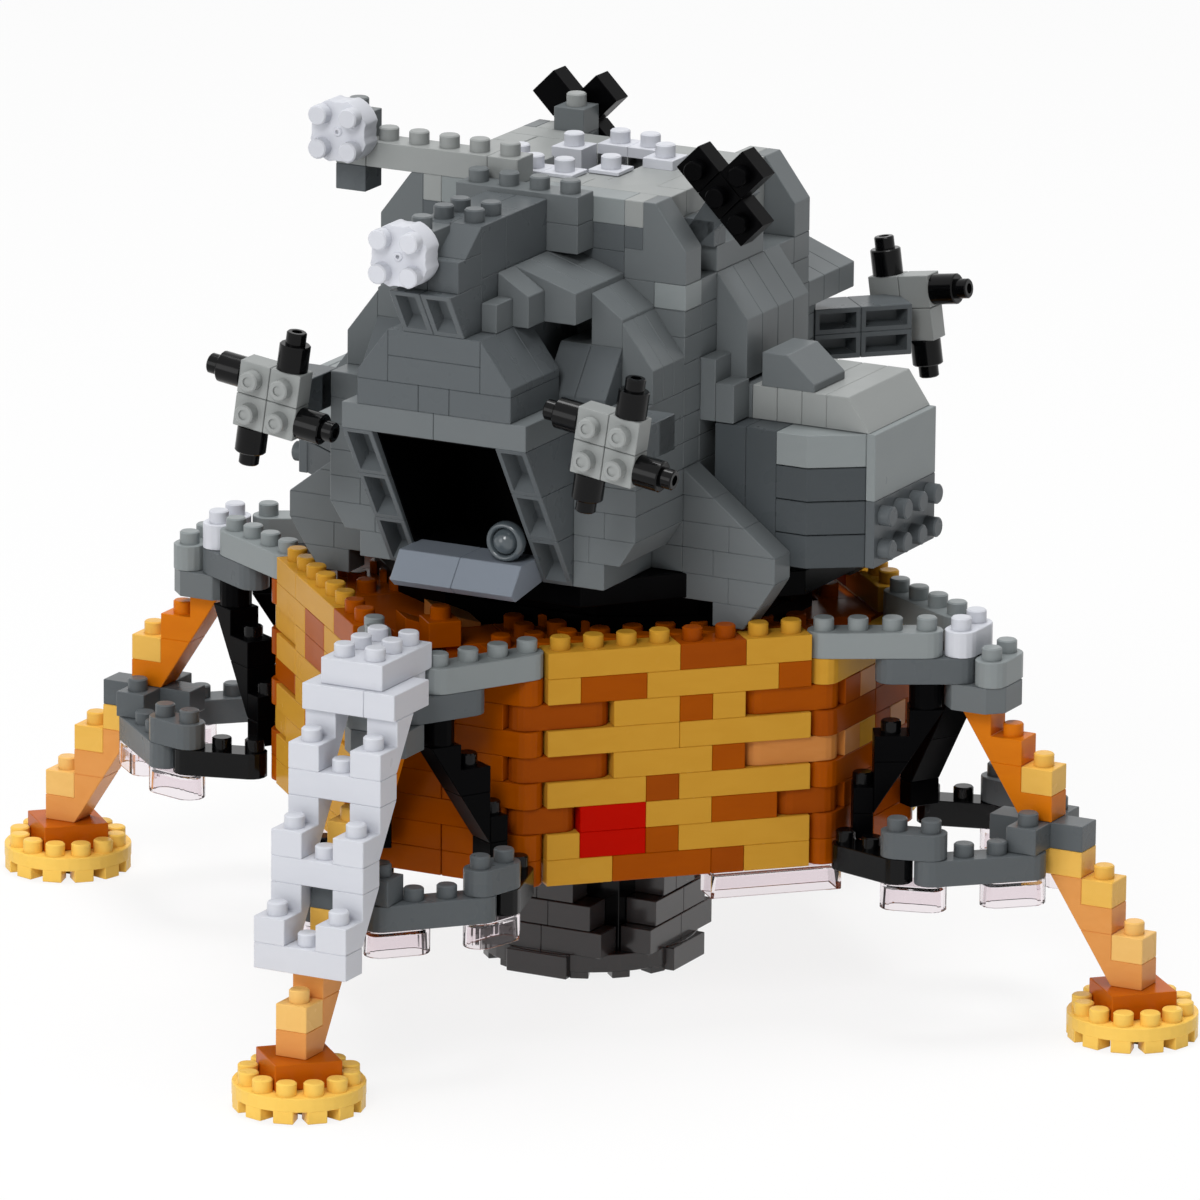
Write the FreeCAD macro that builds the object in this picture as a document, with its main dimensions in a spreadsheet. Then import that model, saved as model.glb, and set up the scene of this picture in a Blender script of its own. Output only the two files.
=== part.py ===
# Lunar lander built from micro building bricks.
# Millimetres, +Z up.  The origin is on the floor under the middle of the descent stage.
# +X and +Y run square to the walls of the descent stage; the ladder leg points to -X -Y.
# The cabin on top is turned by 45 degrees: its own u axis points to +X -Y, its own v axis to +X +Y.
import FreeCAD
import Part
import math
import os

Vector = FreeCAD.Vector
doc = FreeCAD.newDocument("LunarLander")

# ---------------------------------------------------------------- sizes
SIZES = (
    # alias, value, what it is
    ("pitch", 4.0, "stud to stud"),
    ("layer", 3.1, "height of one brick"),
    ("studWidth", 2.4, "diameter of a stud"),
    ("studHeight", 1.5, "height of a stud"),
    ("gap", 0.05, "clearance round each round-ended brick"),
    ("wallStuds", 8, "studs along a wall"),
    ("wallBottom", 6, "layers from the floor to the walls"),
    ("wallLayers", 9, "courses in a wall"),
    ("cornerStuds", 5, "pitches between the two pivots of a corner"),
    ("armStuds", 4, "studs along an outrigger arm"),
    ("footWidth", 15.4, "diameter of a landing pad"),
    ("sideways", 8.0, "turn of a thruster block on its stud"),
    ("dishWidth", 7.8, "diameter of a dish"),
    ("dishDepth", 3.1, "thickness of a dish"),
    ("thrusterWidth", 3.7, "diameter of a thruster's body"),
    ("thrusterTip", 2.4, "diameter of a thruster's tip"),
    ("ballWidth", 3.5, "diameter of the hatch ball"),
    ("ringWidth", 4.9, "diameter of the ring round the hatch ball"),
    ("nozzleWidth", 26.0, "diameter of the engine nozzle at its mouth"),
    ("socketPlay", 0.2, "radial play of a turning piece on its stud"),
    ("footThick", 2.2, "thickness of a landing pad above its teeth"),
    ("braceStart", 0.9, "pitches from a corner's pivot to the foot of its brace"),
)
sheet = doc.addObject("Spreadsheet::Sheet", "Sizes")
for row, (alias, value, meaning) in enumerate(SIZES, start=1):
    sheet.set("A%d" % row, alias)
    sheet.set("B%d" % row, str(value))
    sheet.set("C%d" % row, meaning)
    sheet.setAlias("B%d" % row, alias)
for alias, formula in (("footRadius", "=footWidth / 2"), ("studRadius", "=studWidth / 2"),
                       ("dishRadius", "=dishWidth / 2"),
                       ("socket", "=studWidth / 2 + socketPlay"), ("socketDepth", "=studHeight + 0.3")):
    row += 1
    sheet.set("A%d" % row, alias)
    sheet.set("B%d" % row, formula)
    sheet.setAlias("B%d" % row, alias)
doc.recompute()

P = sheet.pitch
L = sheet.layer
STUD_R = sheet.studWidth / 2
STUD_H = sheet.studHeight
STUD_SIDES = 6
ROOT2 = math.sqrt(2)

# The corner of the descent stage: pivots at the ends of every wall, five pitches apart across the corner.
WALL_END = (sheet.wallStuds + 1) / 2
WALL_AXIS = WALL_END + sheet.cornerStuds / ROOT2
WALL_FACE = WALL_AXIS + 0.5
WALL_TOP = sheet.wallBottom + sheet.wallLayers
# Two arms and the two short bars that tie them make a closed trapezoid, which sets the splay.
ARM_SPAN = sheet.armStuds
ARM_DRIFT = (sheet.cornerStuds - 1) / 2
CORNER_OUT = (WALL_END + WALL_AXIS) / ROOT2
ARM_RUN = math.sqrt(ARM_SPAN ** 2 - ARM_DRIFT ** 2)
TIE_OUT = CORNER_OUT + ARM_RUN


# ---------------------------------------------------------------- shapes in brick units
def point(across, along, level):
    return Vector(across * P, along * P, level * L)


def prism(corners, level, top):
    """Upright prism on corners given in pitches, between two layer levels."""
    ring = [point(a, b, level) for a, b in corners]
    return Part.Face(Part.makePolygon(ring + ring[:1])).extrude(Vector(0, 0, (top - level) * L))


def block(low, high, level, top):
    return prism(((low[0], low[1]), (high[0], low[1]), (high[0], high[1]), (low[0], high[1])), level, top)


def profile(outline, start, end, turn=0.0):
    """Outline of (out, level) pairs in a vertical plane, carried across from start to end pitches."""
    ring = [Vector(out * P, start * P, level * L) for out, level in outline]
    shape = Part.Face(Part.makePolygon(ring + ring[:1])).extrude(Vector(0, (end - start) * P, 0))
    return shape.rotate(Vector(), Vector(0, 0, 1), turn) if turn else shape


def stud(across, along, level):
    corners = []
    for side in range(STUD_SIDES):
        angle = 2 * math.pi * (side + 0.5) / STUD_SIDES
        corners.append(point(across, along, level) + Vector(STUD_R * math.cos(angle), STUD_R * math.sin(angle), 0))
    return Part.Face(Part.makePolygon(corners + corners[:1])).extrude(Vector(0, 0, STUD_H))


def rod(width, length, sides=8):
    """Faceted round rod standing on the origin, in millimetres."""
    reach = width / 2 / math.sqrt(math.cos(math.pi / sides))
    ring = [Vector(reach * math.cos(2 * math.pi * (n + 0.5) / sides), reach * math.sin(2 * math.pi * (n + 0.5) / sides))
            for n in range(sides + 1)]
    return Part.Face(Part.makePolygon(ring)).extrude(Vector(0, 0, length))


def bead(width, sides=8, bands=4):
    """Faceted ball about the origin."""
    rows = [[Vector(width / 2 * math.cos(tilt) * math.cos(2 * math.pi * n / sides),
                    width / 2 * math.cos(tilt) * math.sin(2 * math.pi * n / sides), width / 2 * math.sin(tilt))
             for n in range(sides + 1)]
            for tilt in [math.radians(-67.5 + 45 * band) for band in range(bands)]]
    faces = [Part.Face(Part.makePolygon(rows[0])), Part.Face(Part.makePolygon(rows[-1]))]
    for low, high in zip(rows, rows[1:]):
        for n in range(sides):
            faces.append(Part.Face(Part.makePolygon([low[n], low[n + 1], high[n + 1], high[n], low[n]])))
    solid = Part.Solid(Part.Shell(faces))
    return solid if solid.Volume > 0 else solid.reversed()


def bar(start, end, level, top):
    """Round-ended bar one pitch wide between two stud centres."""
    heading = math.atan2(end[1] - start[1], end[0] - start[0])
    corners = []
    for centre, first in ((end, -90), (start, 90)):
        for step in (22.5, 67.5, 112.5, 157.5):
            angle = heading + math.radians(first + step)
            reach = (0.5 - sheet.gap / P) / math.cos(math.radians(22.5))
            corners.append((centre[0] + reach * math.cos(angle), centre[1] + reach * math.sin(angle)))
    return prism(corners, level, top)


def joined(pieces):
    return pieces[0].fuse(pieces[1:]).removeSplitter() if len(pieces) > 1 else pieces[0]


parts = []


def add(label, shape, placement=None):
    feature = doc.addObject("Part::Feature", label)
    feature.Label = label
    feature.Shape = shape
    if placement:
        feature.Placement = placement.multiply(shape.Placement)
    parts.append(feature)
    return feature


def turned(angle, offset=Vector()):
    return FreeCAD.Placement(offset, FreeCAD.Rotation(Vector(0, 0, 1), angle))


def primitive(kind, label, placement, **sizes):
    """Part primitive whose lengths follow the sheet."""
    feature = doc.addObject("Part::" + kind, label)
    feature.Placement = placement
    for name, source in sizes.items():
        if isinstance(source, str):
            feature.setExpression(name, "<<Sizes>>." + source)
        else:
            setattr(feature, name, source)
    return feature


def combined(label, shapes, cuts=()):
    """Fusion of the given features, less the cuts, as one named piece."""
    fusion = doc.addObject("Part::MultiFuse", label + ("_body" if cuts else ""))
    fusion.Shapes = shapes
    fusion.Refine = True
    if cuts:
        tools = cuts[0]
        if len(cuts) > 1:
            tools = doc.addObject("Part::MultiFuse", label + "_cuts")
            tools.Shapes = list(cuts)
        result = doc.addObject("Part::Cut", label)
        result.Base, result.Tool = fusion, tools
        fusion = result
    fusion.Label = label
    doc.recompute()
    parts.append(fusion)
    return fusion


def held(shape, label):
    """Plain feature used inside a combined piece."""
    feature = doc.addObject("Part::Feature", label)
    feature.Shape = shape
    return feature


def at(placement, across, along, level, spin=0.0, axis=Vector(0, 0, 1)):
    """Placement of a primitive at a point of the given frame, in brick units."""
    return placement.multiply(FreeCAD.Placement(point(across, along, level), FreeCAD.Rotation(axis, spin)))


CORNERS = (("front_right", -45), ("back_right", 45), ("back_left", 135), ("front_left", -135))
SIDES = (("front", 0), ("right", 90), ("back", 180), ("left", 270))

# ---------------------------------------------------------------- descent stage walls
half = sheet.wallStuds / 2
for name, angle in SIDES:
    pieces = [block((-half, -WALL_FACE), (half, -WALL_FACE + 1), sheet.wallBottom, WALL_TOP)]
    for end in (-1, 1):
        pieces.append(bar((end * (WALL_END - 0.5), -WALL_AXIS), (end * WALL_END, -WALL_AXIS),
                          sheet.wallBottom, WALL_TOP - 1))
    for count in range(int(sheet.wallStuds)):
        pieces.append(stud(-half + 0.5 + count, -WALL_AXIS, WALL_TOP))
    add("wall_" + name, joined(pieces), turned(angle))

inner = WALL_FACE - 1
for name, angle in CORNERS:
    reach = CORNER_OUT
    span = sheet.cornerStuds / 2 - 0.5
    add("corner_" + name, block((reach - 0.5, -span), (reach + 0.5, span), sheet.wallBottom, WALL_TOP - 1),
        turned(angle))

deck = [prism(((-inner, -half), (-half, -inner), (half, -inner), (inner, -half),
               (inner, half), (half, inner), (-half, inner), (-inner, half)), sheet.wallBottom + 0.5, WALL_TOP - 1)]
add("deck", joined(deck))

# ---------------------------------------------------------------- outriggers, braces and legs
LEG_MIDDLE = TIE_OUT + 2.5
ANKLE = TIE_OUT + 5.5
CUT = 0.45
LADDER_LEG = "front_left"
for name, angle in CORNERS:
    arms = []
    for side in (-1, 1):
        root = (CORNER_OUT, side * sheet.cornerStuds / 2)
        unit = (ARM_RUN / ARM_SPAN, -side * ARM_DRIFT / ARM_SPAN)
        spots = [(root[0] + unit[0] * n, root[1] + unit[1] * n) for n in range(int(sheet.armStuds) + 1)]
        arms.append(bar(spots[0], spots[3], WALL_TOP - 1, WALL_TOP))
        for spot in spots[:4]:
            arms.append(stud(spot[0], spot[1], WALL_TOP))
        arms.append(bar(spots[2], spots[4], WALL_TOP - 2, WALL_TOP - 1))
    for out, top in ((TIE_OUT, WALL_TOP), (TIE_OUT + 1, WALL_TOP - 1)):
        arms.append(bar((out, -0.5), (out, 0.5), top - 1, top))
        if name != LADDER_LEG:
            arms += [stud(out, side * 0.5, top) for side in (-1, 1)]
    low, high = TIE_OUT - 0.5, TIE_OUT + 1.5
    arms.append(prism(((low + CUT, -1), (high - CUT, -1), (high, CUT - 1), (high, 1 - CUT), (high - CUT, 1),
                       (low + CUT, 1), (low, 1 - CUT), (low, CUT - 1)), WALL_TOP - 3, WALL_TOP - 2))
    add("outrigger_" + name, joined(arms), turned(angle))

# tread of a leg: how far out it is and the level of the slope's top
TREADS = ((TIE_OUT + 1.5, 12), (TIE_OUT + 2.5, 10), (TIE_OUT + 4.5, 6), (TIE_OUT + 5.5, 4))
for name, angle in CORNERS:
    leg = []
    for tread, top in TREADS:
        leg.append(profile(((tread - 1.5, top), (tread - 0.5, top), (tread - 0.5, top - 1), (tread + 0.5, top - 1),
                            (tread + 0.5, top - 2), (tread - 0.5, top - 2)), -0.5, 0.5))
        if name == LADDER_LEG and top == TREADS[2][1]:
            continue
        capped = 0 if top == TREADS[0][1] else 1
        if capped:
            leg.append(block((tread - 0.5, -0.5), (tread + 0.5, 0.5), top - 1, top))
        leg.append(stud(tread, 0, top - 1 + capped))
    leg.append(block((LEG_MIDDLE - 1.5, -0.5), (LEG_MIDDLE + 1.5, 0.5), 7, 8))
    leg.append(block((LEG_MIDDLE - 0.5, -1.5), (LEG_MIDDLE + 0.5, 1.5), 7, 8))
    leg.append(block((LEG_MIDDLE - 0.5, -0.5), (LEG_MIDDLE + 1.5, 0.5), 6, 7))
    sole = block((-1, -1), (1, 1), 1, 2).rotate(Vector(), Vector(0, 0, 1), -angle)
    sole.translate(point(ANKLE, 0, 0))
    leg.append(sole)
    add("leg_" + name, joined(leg), turned(angle))

RIM_STUDS = 12
for name, angle in CORNERS:
    frame = turned(angle)
    pad = primitive("Prism", "pad_" + name, at(frame, ANKLE, 0, 1 - sheet.footThick / L),
                    Polygon=2 * RIM_STUDS, Circumradius="footRadius", Height="footThick")
    rim = []
    for n in range(RIM_STUDS):
        bearing = math.radians(360 / RIM_STUDS * (n + 0.5))
        rim.append(stud(ANKLE + 1.5 * math.cos(bearing), 1.5 * math.sin(bearing), 1))
        tooth = block((1.25, -0.22), (1.85, 0.22), 0, 1 - sheet.footThick / L)
        tooth.rotate(Vector(), Vector(0, 0, 1), math.degrees(bearing))
        tooth.translate(point(ANKLE, 0, 0))
        rim.append(tooth)
    rim.append(block((ANKLE - 0.8, -0.8), (ANKLE + 0.8, 0.8), 0, 1 - sheet.footThick / L))
    rim = held(Part.makeCompound(rim), "rim_" + name)
    rim.Placement = frame
    combined("foot_" + name, [pad, rim])

START = sheet.braceStart
for name, angle in CORNERS:
    pair = []
    for side in (-1, 1):
        brace = joined([
            profile(((2.5, 12), (3.5, 12), (2.5, 10), (1.5, 8), (1.5, 7), (START, 7), (START, 9), (1.5, 9), (1.5, 11),
                     (2.5, 11)), -0.5, 0.5),
            bar((3, 0), (3, 0.001), 12, 13), stud(2, 0, 11), stud(1.2, 0, 9)])
        brace.rotate(Vector(), Vector(0, 0, 1), math.degrees(math.atan2(-side * ARM_DRIFT, ARM_RUN)))
        brace.translate(point(CORNER_OUT, side * sheet.cornerStuds / 2, 0))
        pair.append(brace)
    add("braces_" + name, Part.makeCompound(pair), turned(angle))

# ---------------------------------------------------------------- lower frame
# run of bars from a wall's end to the leg: heading from straight out, pitches, level of the bar's underside
RUN = ((-16.0, 3, 6), (15.0, 1, 7), (43.0, 3, 6))
clear = []
for name, angle in CORNERS:
    struts = []
    for side in (-1, 1):
        spot = (CORNER_OUT, side * sheet.cornerStuds / 2)
        for count, (heading, length, level) in enumerate(RUN):
            turn = math.radians(-side * heading)
            ahead = (math.cos(turn), math.sin(turn))
            far = (spot[0] + length * ahead[0], spot[1] + length * ahead[1])
            near = spot if count else (spot[0] + 1.1 * ahead[0], spot[1] + 1.1 * ahead[1])
            struts.append(bar(near, far, level, level + 1))
            for n in (0, 1) if length == 1 else (1.5,):
                struts.append(stud(spot[0] + n * ahead[0], spot[1] + n * ahead[1], level + 1))
            if length == 1:
                clear.append(bar(spot, far, 5, 6))
            if count == 2:
                back = (far[0] - ahead[0], far[1] - ahead[1])
                clear.append(bar(back, far, 5, 6))
            spot = far
        for piece in clear[-2:]:
            piece.rotate(Vector(), Vector(0, 0, 1), angle)
    add("struts_" + name, joined(struts), turned(angle))
for name, angle in SIDES:
    clear.append(block((half - 4, -WALL_FACE), (half, -WALL_FACE + 1), 5, 6).rotate(Vector(), Vector(0, 0, 1), angle))
add("clear_bricks", Part.makeCompound(clear))

# ---------------------------------------------------------------- ladder
LADDER_OUT = TIE_OUT + 0.5
ladder = [block((LADDER_OUT - 1, -1), (LADDER_OUT + 2, 1), 15, 16)]
for a in (-0.5, 0.5, 1.5):
    for b in (-0.5, 0.5):
        ladder.append(stud(LADDER_OUT + a, b, 16))
ladder.append(block((TIE_OUT + 0.6, -1.5), (LADDER_OUT + 2.2, 1.5), 14, 15))
for n, top in enumerate((14, 11, 8)):
    out = TIE_OUT + 3 + n
    for b in (-1, 1):
        ladder.append(profile(((out - 1.5, top), (out - 0.5, top), (out - 0.5, top - 1), (out + 0.5, top - 1),
                               (out + 0.5, top - 2), (out - 0.5, top - 2)), b - 0.5, b + 0.5))
        ladder.append(stud(out, b, top - 1))
    ladder.append(block((out - 0.5, -1.5), (out + 0.5, 1.5), top - 3, top - 2))
    ladder.append(stud(out, 0, top - 2))
add("ladder", joined(ladder), turned(-135))

# ---------------------------------------------------------------- engine nozzle
# ring: radius in pitches, bottom and top level
RINGS = ((2.1, 4.0, 6.0), (2.6, 3.0, 4.0), (2.9, 1.0, 3.0))
nozzle = []
for radius, level, top in RINGS:
    corners = [(radius * math.cos(math.radians(30 * n + 15)), radius * math.sin(math.radians(30 * n + 15)))
               for n in range(12)]
    nozzle.append(prism(corners, level, top))
nozzle.append(block((-2, -2), (2, 2), 5.5, 6.5))
add("nozzle", joined(nozzle))
mouth = sheet.nozzleWidth / 2 / P
rim = [prism([(mouth * math.cos(math.radians(15 * n)), mouth * math.sin(math.radians(15 * n))) for n in range(24)],
             0.3, 1.0)]
for n in range(16):
    tooth = block((mouth - 0.55, -0.28), (mouth - 0.05, 0.28), 0.02, 0.3)
    rim.append(tooth.rotate(Vector(), Vector(0, 0, 1), 22.5 * n))
add("nozzle_mouth", joined(rim))

# ---------------------------------------------------------------- ascent stage
# In the cabin's own directions: across is u, along is v, the hatch looks along -v.
ASCENT = turned(-45)
AHEAD = -90


def both(shape):
    return [shape, shape.mirror(Vector(), Vector(1, 0, 0))]


base = prism(((-3, -6.5), (3, -6.5), (6.5, -3.5), (8, -2), (8, 2), (6.5, 3.5), (3, 6.5), (-3, 6.5), (-6.5, 3.5),
              (-8, 2), (-8, -2), (-6.5, -3.5)), 16, 17)
base = base.fuse(prism(((-2.5, -4.5), (2.5, -4.5), (5, -3), (6.5, -1.5), (6.5, 1.5), (5, 3), (2.5, 4.5), (-2.5, 4.5),
                        (-5, 3), (-6.5, 1.5), (-6.5, -1.5), (-5, -3)), 14, 16))
SKIRT_ALONG = (-4, 3)
for flip in (0, 180):
    for along in SKIRT_ALONG:
        base = base.cut(block((5, along), (9, along + 1), 15, 17).rotate(Vector(), Vector(0, 0, 1), flip))
add("ascent_base", base, ASCENT)

# hatch front: three stepped hollow bricks a side, the brow above and a side wall each way
front = [block((-3, -10), (3, -6), 23, 24), block((-2, -7), (2, -4), 17, 18)]
for n in range(3):
    low, out = 17 + 2 * n, 7 + n
    column = profile(((4, low), (out, low), (out + 1, low + 2), (4, low + 2)), 2, 3, AHEAD)
    hollow = profile(((out + 0.15, low + 0.7), (out + 0.85, low + 1.8), (out + 0.15, low + 1.8)), 2.2, 2.8, AHEAD)
    hollow = hollow.fuse(profile(((out + 0.1, low + 0.6), (out + 1.1, low + 2.0 - 0.2), (out + 0.6, low + 1.8)), 2.2, 2.8, AHEAD))
    front += both(column.cut(hollow))
side = profile(((3, 17), (4, 17), (5, 19), (5, 24), (3, 24)), -7, -4)
front += both(side)
add("hatch_front", joined(front), ASCENT)

porch = profile(((7, 17), (8.6, 16.7), (8.9, 17), (8.3, 18), (7, 18)), -2, 2, AHEAD)
add("porch", porch, ASCENT)

BALL = (1.35, -8.0, 18.0 + sheet.ringWidth / 2 / L)
ring = rod(sheet.ringWidth, L / 2, 12).rotate(Vector(), Vector(1, 0, 0), 90)
ring.translate(Vector(0, P / 2, 0))
ball = joined([ring, bead(sheet.ballWidth)])
ball.translate(point(*BALL))
add("hatch_ball", ball, ASCENT)

nose = [profile(((-2.5, 24), (2.5, 24), (2.5, 25.3), (1.5, 27), (-1.5, 27), (-2.5, 25.3)), -10, -7),
        block((-1.5, -7), (1.5, -4), 24, 27)]
for shape in (block((2, -6), (4, -4), 24, 26), profile(((6, 24), (7, 24), (7, 24.3), (6, 26)), 2, 4, AHEAD),
              profile(((4, 24), (5, 24), (5, 25.3), (4, 27)), -6, -4), profile(((3, 26), (4, 26), (4, 27.1), (3, 28)), -6, -4),
              profile(((1, 27), (3, 27), (3, 28.2), (1, 29)), -7, -4), profile(((1, 27), (2, 27), (2, 28.2), (1, 29)), -8, -7),
              block((1, -9), (1.5, -8), 27, 28.1)):
    nose += both(shape)
add("cabin_nose", joined(nose), ASCENT)

tower = [profile(((4, 27), (10, 27), (10.9, 28.8), (10.4, 28.8), (10.4, 30), (10, 30), (9, 31), (5, 31), (5, 29), (4, 29)), -1, 1,
                 AHEAD),
         block((-0.9, -10.5), (0.1, -9.2), 30, 31), stud(-0.4, -10, 31)]
tower += [stud(a, b, 31) for a in (-0.5, 0.5) for b in (-8.5, -7.5)]
tower = held(joined(tower), "tower_body")
tower.Placement = ASCENT
DISH_LOW = (-0.47, -10.5, 30.25)
DISH_HIGH = (-6.0, -4.0, 32.46)
peg = primitive("Cylinder", "tower_peg", at(ASCENT, *DISH_LOW, 90, Vector(1, 0, 0)), Radius="studRadius",
                Height="studHeight")
combined("tower", [tower, peg])

core = [block((-5, -4), (5, 4), 17, 28), block((-4, -3), (4, 3), 28, 31), block((-4, 4), (4, 6.5), 17, 25),
        block((-3, 4), (3, 7), 25, 27)]
for shape in (profile(((3, 28), (5, 28), (5, 29.3), (4, 31), (3, 31)), -4, -3),
              profile(((3, 28), (5, 28), (5, 29.3), (4, 31), (3, 31)), 3, 4),
              block((4, -2), (5, 1), 28, 29), profile(((5, 24), (6, 24), (6, 26.3), (5, 28)), -2, 2),
              profile(((3, 25), (5, 25), (5, 26), (3, 27)), 4, 7),
              block((5, -3), (5.5, -2), 22.6, 25), block((5.5, -3), (6.1, -2), 22.6, 24.1)):
    core += both(shape)
core.append(profile(((-5, 21.9), (-6, 21.9), (-6, 23.3), (-5, 25)), -5, -1))
# docking well in the roof
add("cabin_core", joined(core).cut(block((-1.4, -1.4), (1.4, 1), 30, 31)), ASCENT)

row = [block((-3, -4), (3, -3), 28, 31), block((-2, -5), (2, -4), 29, 31.2)]
row += [stud(a, -4.5, 31.2) for a in (-1.5, -0.5, 0.5, 1.5)]
add("roof_front", joined(row), ASCENT)

# white collar round the docking well: studs of its two curved ends
# stud: across, along, level under it
COLLAR = ((-2, -1, 31.15), (-1, -2, 31.15), (0, -2, 31.15), (1, -1, 31.15),
          (-1, 0.5, 31.35), (0, 1.5, 31.35), (1, 1.5, 31.35), (2, 0.5, 31.35))
collar = []
for a, b, level in COLLAR:
    collar += [block((a - 0.5, b - 0.5), (a + 0.5, b + 0.5), 31, level), stud(a, b, level)]
add("docking_collar", joined(collar), ASCENT)

# a tank each side, laid on its side: rows of bricks one pitch high, with a plate and pairs of studs outside
# tank: which side, half depth, outer face, level of its underside, rows
TANKS = (("right", 1, 3, 9.9, 17.4, 4), ("left", -1, 3, 8.5, 18.0, 3))
for tag, hand, deep, out, low, rows in TANKS:
    top = low + rows * P / L
    tank = [prism(((5, -deep), (out - 1.4, -deep), (out, 1 - deep), (out, deep - 1), (out - 1.4, deep), (5, deep)),
                  low, top)]
    if hand > 0:
        tank += [profile(((6.2, top), (10, top), (9.3, top + 1.3), (6.2, top + 1.3)), -2, 2),
                 profile(((6.5, top + 1.3), (8.2, top + 1.3), (8.2, top + 1.6), (7.3, top + 2.6), (6.5, top + 2.6)),
                         -2, 1),
                 block((5, -2), (6.5, 2), top, top + 1.3), block((5, -deep), (7.5, deep), 17, low)]
    else:
        tank.append(profile(((5, 17), (7.6, 17), (out - 0.3, low), (5, low)), -2.5, 2.5))
    plate = [block((out, 1 - deep), (out + 0.3, deep - 1), low, top)]
    for row in range(2):
        for n in range(4):
            button = rod(sheet.studWidth, STUD_H, STUD_SIDES).rotate(Vector(), Vector(0, 1, 0), 90)
            button.translate(Vector((out + 0.3) * P, (n - 1.5) * P, low * L + (row + 0.5) * P))
            plate.append(button)
    for label, shape in (("tank_" + tag, joined(tank)), ("tank_plate_" + tag, joined(plate))):
        add(label, shape if hand > 0 else shape.rotate(Vector(), Vector(0, 0, 1), 180), ASCENT)

skirts = []
for flip in (0, 180):
    for along in SKIRT_ALONG:
        shape = profile(((5, 15), (7, 15.1), (8, 17), (8, 18), (7, 19), (6, 20), (5, 21)), along, along + 1)
        skirts.append(shape.rotate(Vector(), Vector(0, 0, 1), flip))
add("skirts", Part.makeCompound(skirts), ASCENT)

# boom of the upper dish
boom = [block((-6.5, -4), (-0.5, -3), 31, 32), block((-6.5, -4), (-5.5, -3), 30, 31),
        block((-6.5, -4), (-5.5, -3), 32, 33), stud(-6, -3.5, 33)]
boom += [stud(a, -3.5, 32) for a in (-5, -4, -3, -2, -1)]
boom = held(joined(boom), "dish_boom_body")
boom.Placement = ASCENT
peg = primitive("Cylinder", "dish_boom_peg", at(ASCENT, *DISH_HIGH, 90, Vector(1, 0, 0)), Radius="studRadius",
                Height="studHeight")
combined("dish_boom", [boom, peg])

# posts of the two aerials: a bracket, then a round peg along v
AERIAL_FRONT = (5.55, -2.2, 31.25)
AERIAL_REAR = (-2.85, 4.0, 31.15)
arm = Part.makeBox(2.2 * P, 0.75 * P, P, Vector(-1.7 * P, 0, -P / 2))
arm.rotate(Vector(), Vector(0, 1, 0), -45)
arm.translate(point(*AERIAL_FRONT))
foot = block((4, AERIAL_FRONT[1]), (5, AERIAL_FRONT[1] + 0.75), 29, 30)
bracket = held(joined([arm.cut(block((2, -4), (4, 2), 26, 34)).cut(block((2, -4), (6, 2), 24, 29)), foot]), "bracket")
bracket.Placement = ASCENT
peg = primitive("Cylinder", "bracket_peg", at(ASCENT, *AERIAL_FRONT, 90, Vector(1, 0, 0)), Radius="studRadius",
                Height="studHeight")
combined("aerial_bracket", [bracket, peg])
post = held(joined([block((-3, 3), (-2, 4), 28, 31.9), stud(-2.5, 3.5, 31.9)]), "post")
post.Placement = ASCENT
peg = primitive("Cylinder", "post_peg", at(ASCENT, *AERIAL_REAR, -90, Vector(1, 0, 0)), Radius="studRadius",
                Height="studHeight")
combined("aerial_post", [post, peg])

# ---------------------------------------------------------------- thruster blocks
QUAD = (5.5, 9.55, 23.6)
ROLL = sheet.sideways
# thruster of each quarter of a block: quarter across and up, turn of the thruster about v
QUARTERS = ((0.5, 0.5, 0), (-0.5, 0.5, -90), (-0.5, -0.5, 180), (0.5, -0.5, 90))
for across in (-1, 1):
    for along in (-1, 1):
        label = "thrusters_%s_%s" % ("front" if along < 0 else "back", "left" if across < 0 else "right")
        quad = []
        for a, b, turn in QUARTERS:
            quad.append(Part.makeBox(P, L, P, Vector((a - 0.5) * P, -L / 2, (b - 0.5) * P)))
            button = stud(0, 0, 0).rotate(Vector(), Vector(1, 0, 0), 90)
            button.translate(Vector(a * P, -L / 2, b * P))
            quad.append(button)
            for width, start, length in ((sheet.thrusterWidth, 0, L), (sheet.thrusterTip, L, STUD_H)):
                tube = rod(width, length)
                tube.translate(Vector(0, 0, P / 2 + start))
                tube.rotate(Vector(), Vector(0, 1, 0), turn)
                tube.translate(Vector(a * P, 0, b * P))
                quad.append(tube)
        shape = joined(quad).rotate(Vector(), Vector(0, 1, 0), ROLL)
        shape.rotate(Vector(), Vector(0, 0, 1), 0 if along < 0 else 180)
        shape.translate(point(QUAD[0] * across, QUAD[1] * along, QUAD[2]))
        if along < 0:
            boom = block((5.0 if across > 0 else -6.0, -9.3), (6.0 if across > 0 else -5.0, -6.5), 22.6, 24)
            boom = boom.fuse(block((4.2 if across > 0 else -6.0, -7.5), (6.0 if across > 0 else -4.2, -6.5), 22.6, 24))
            boom = boom.cut(block((3, -7), (5, -4), 17, 24)).cut(block((-5, -7), (-3, -4), 17, 24))
        else:
            boom = block((7.35, 1.63), (10.4, 3.0), 22.1, 24.1).rotate(Vector(), Vector(0, 0, 1), 45)
            if across < 0:
                boom = boom.mirror(Vector(), Vector(1, 0, 0))
            boom = boom.cut(block((-4, 4), (4, 6.5), 17, 25))
        add(label, joined([shape, boom]), ASCENT)


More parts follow.
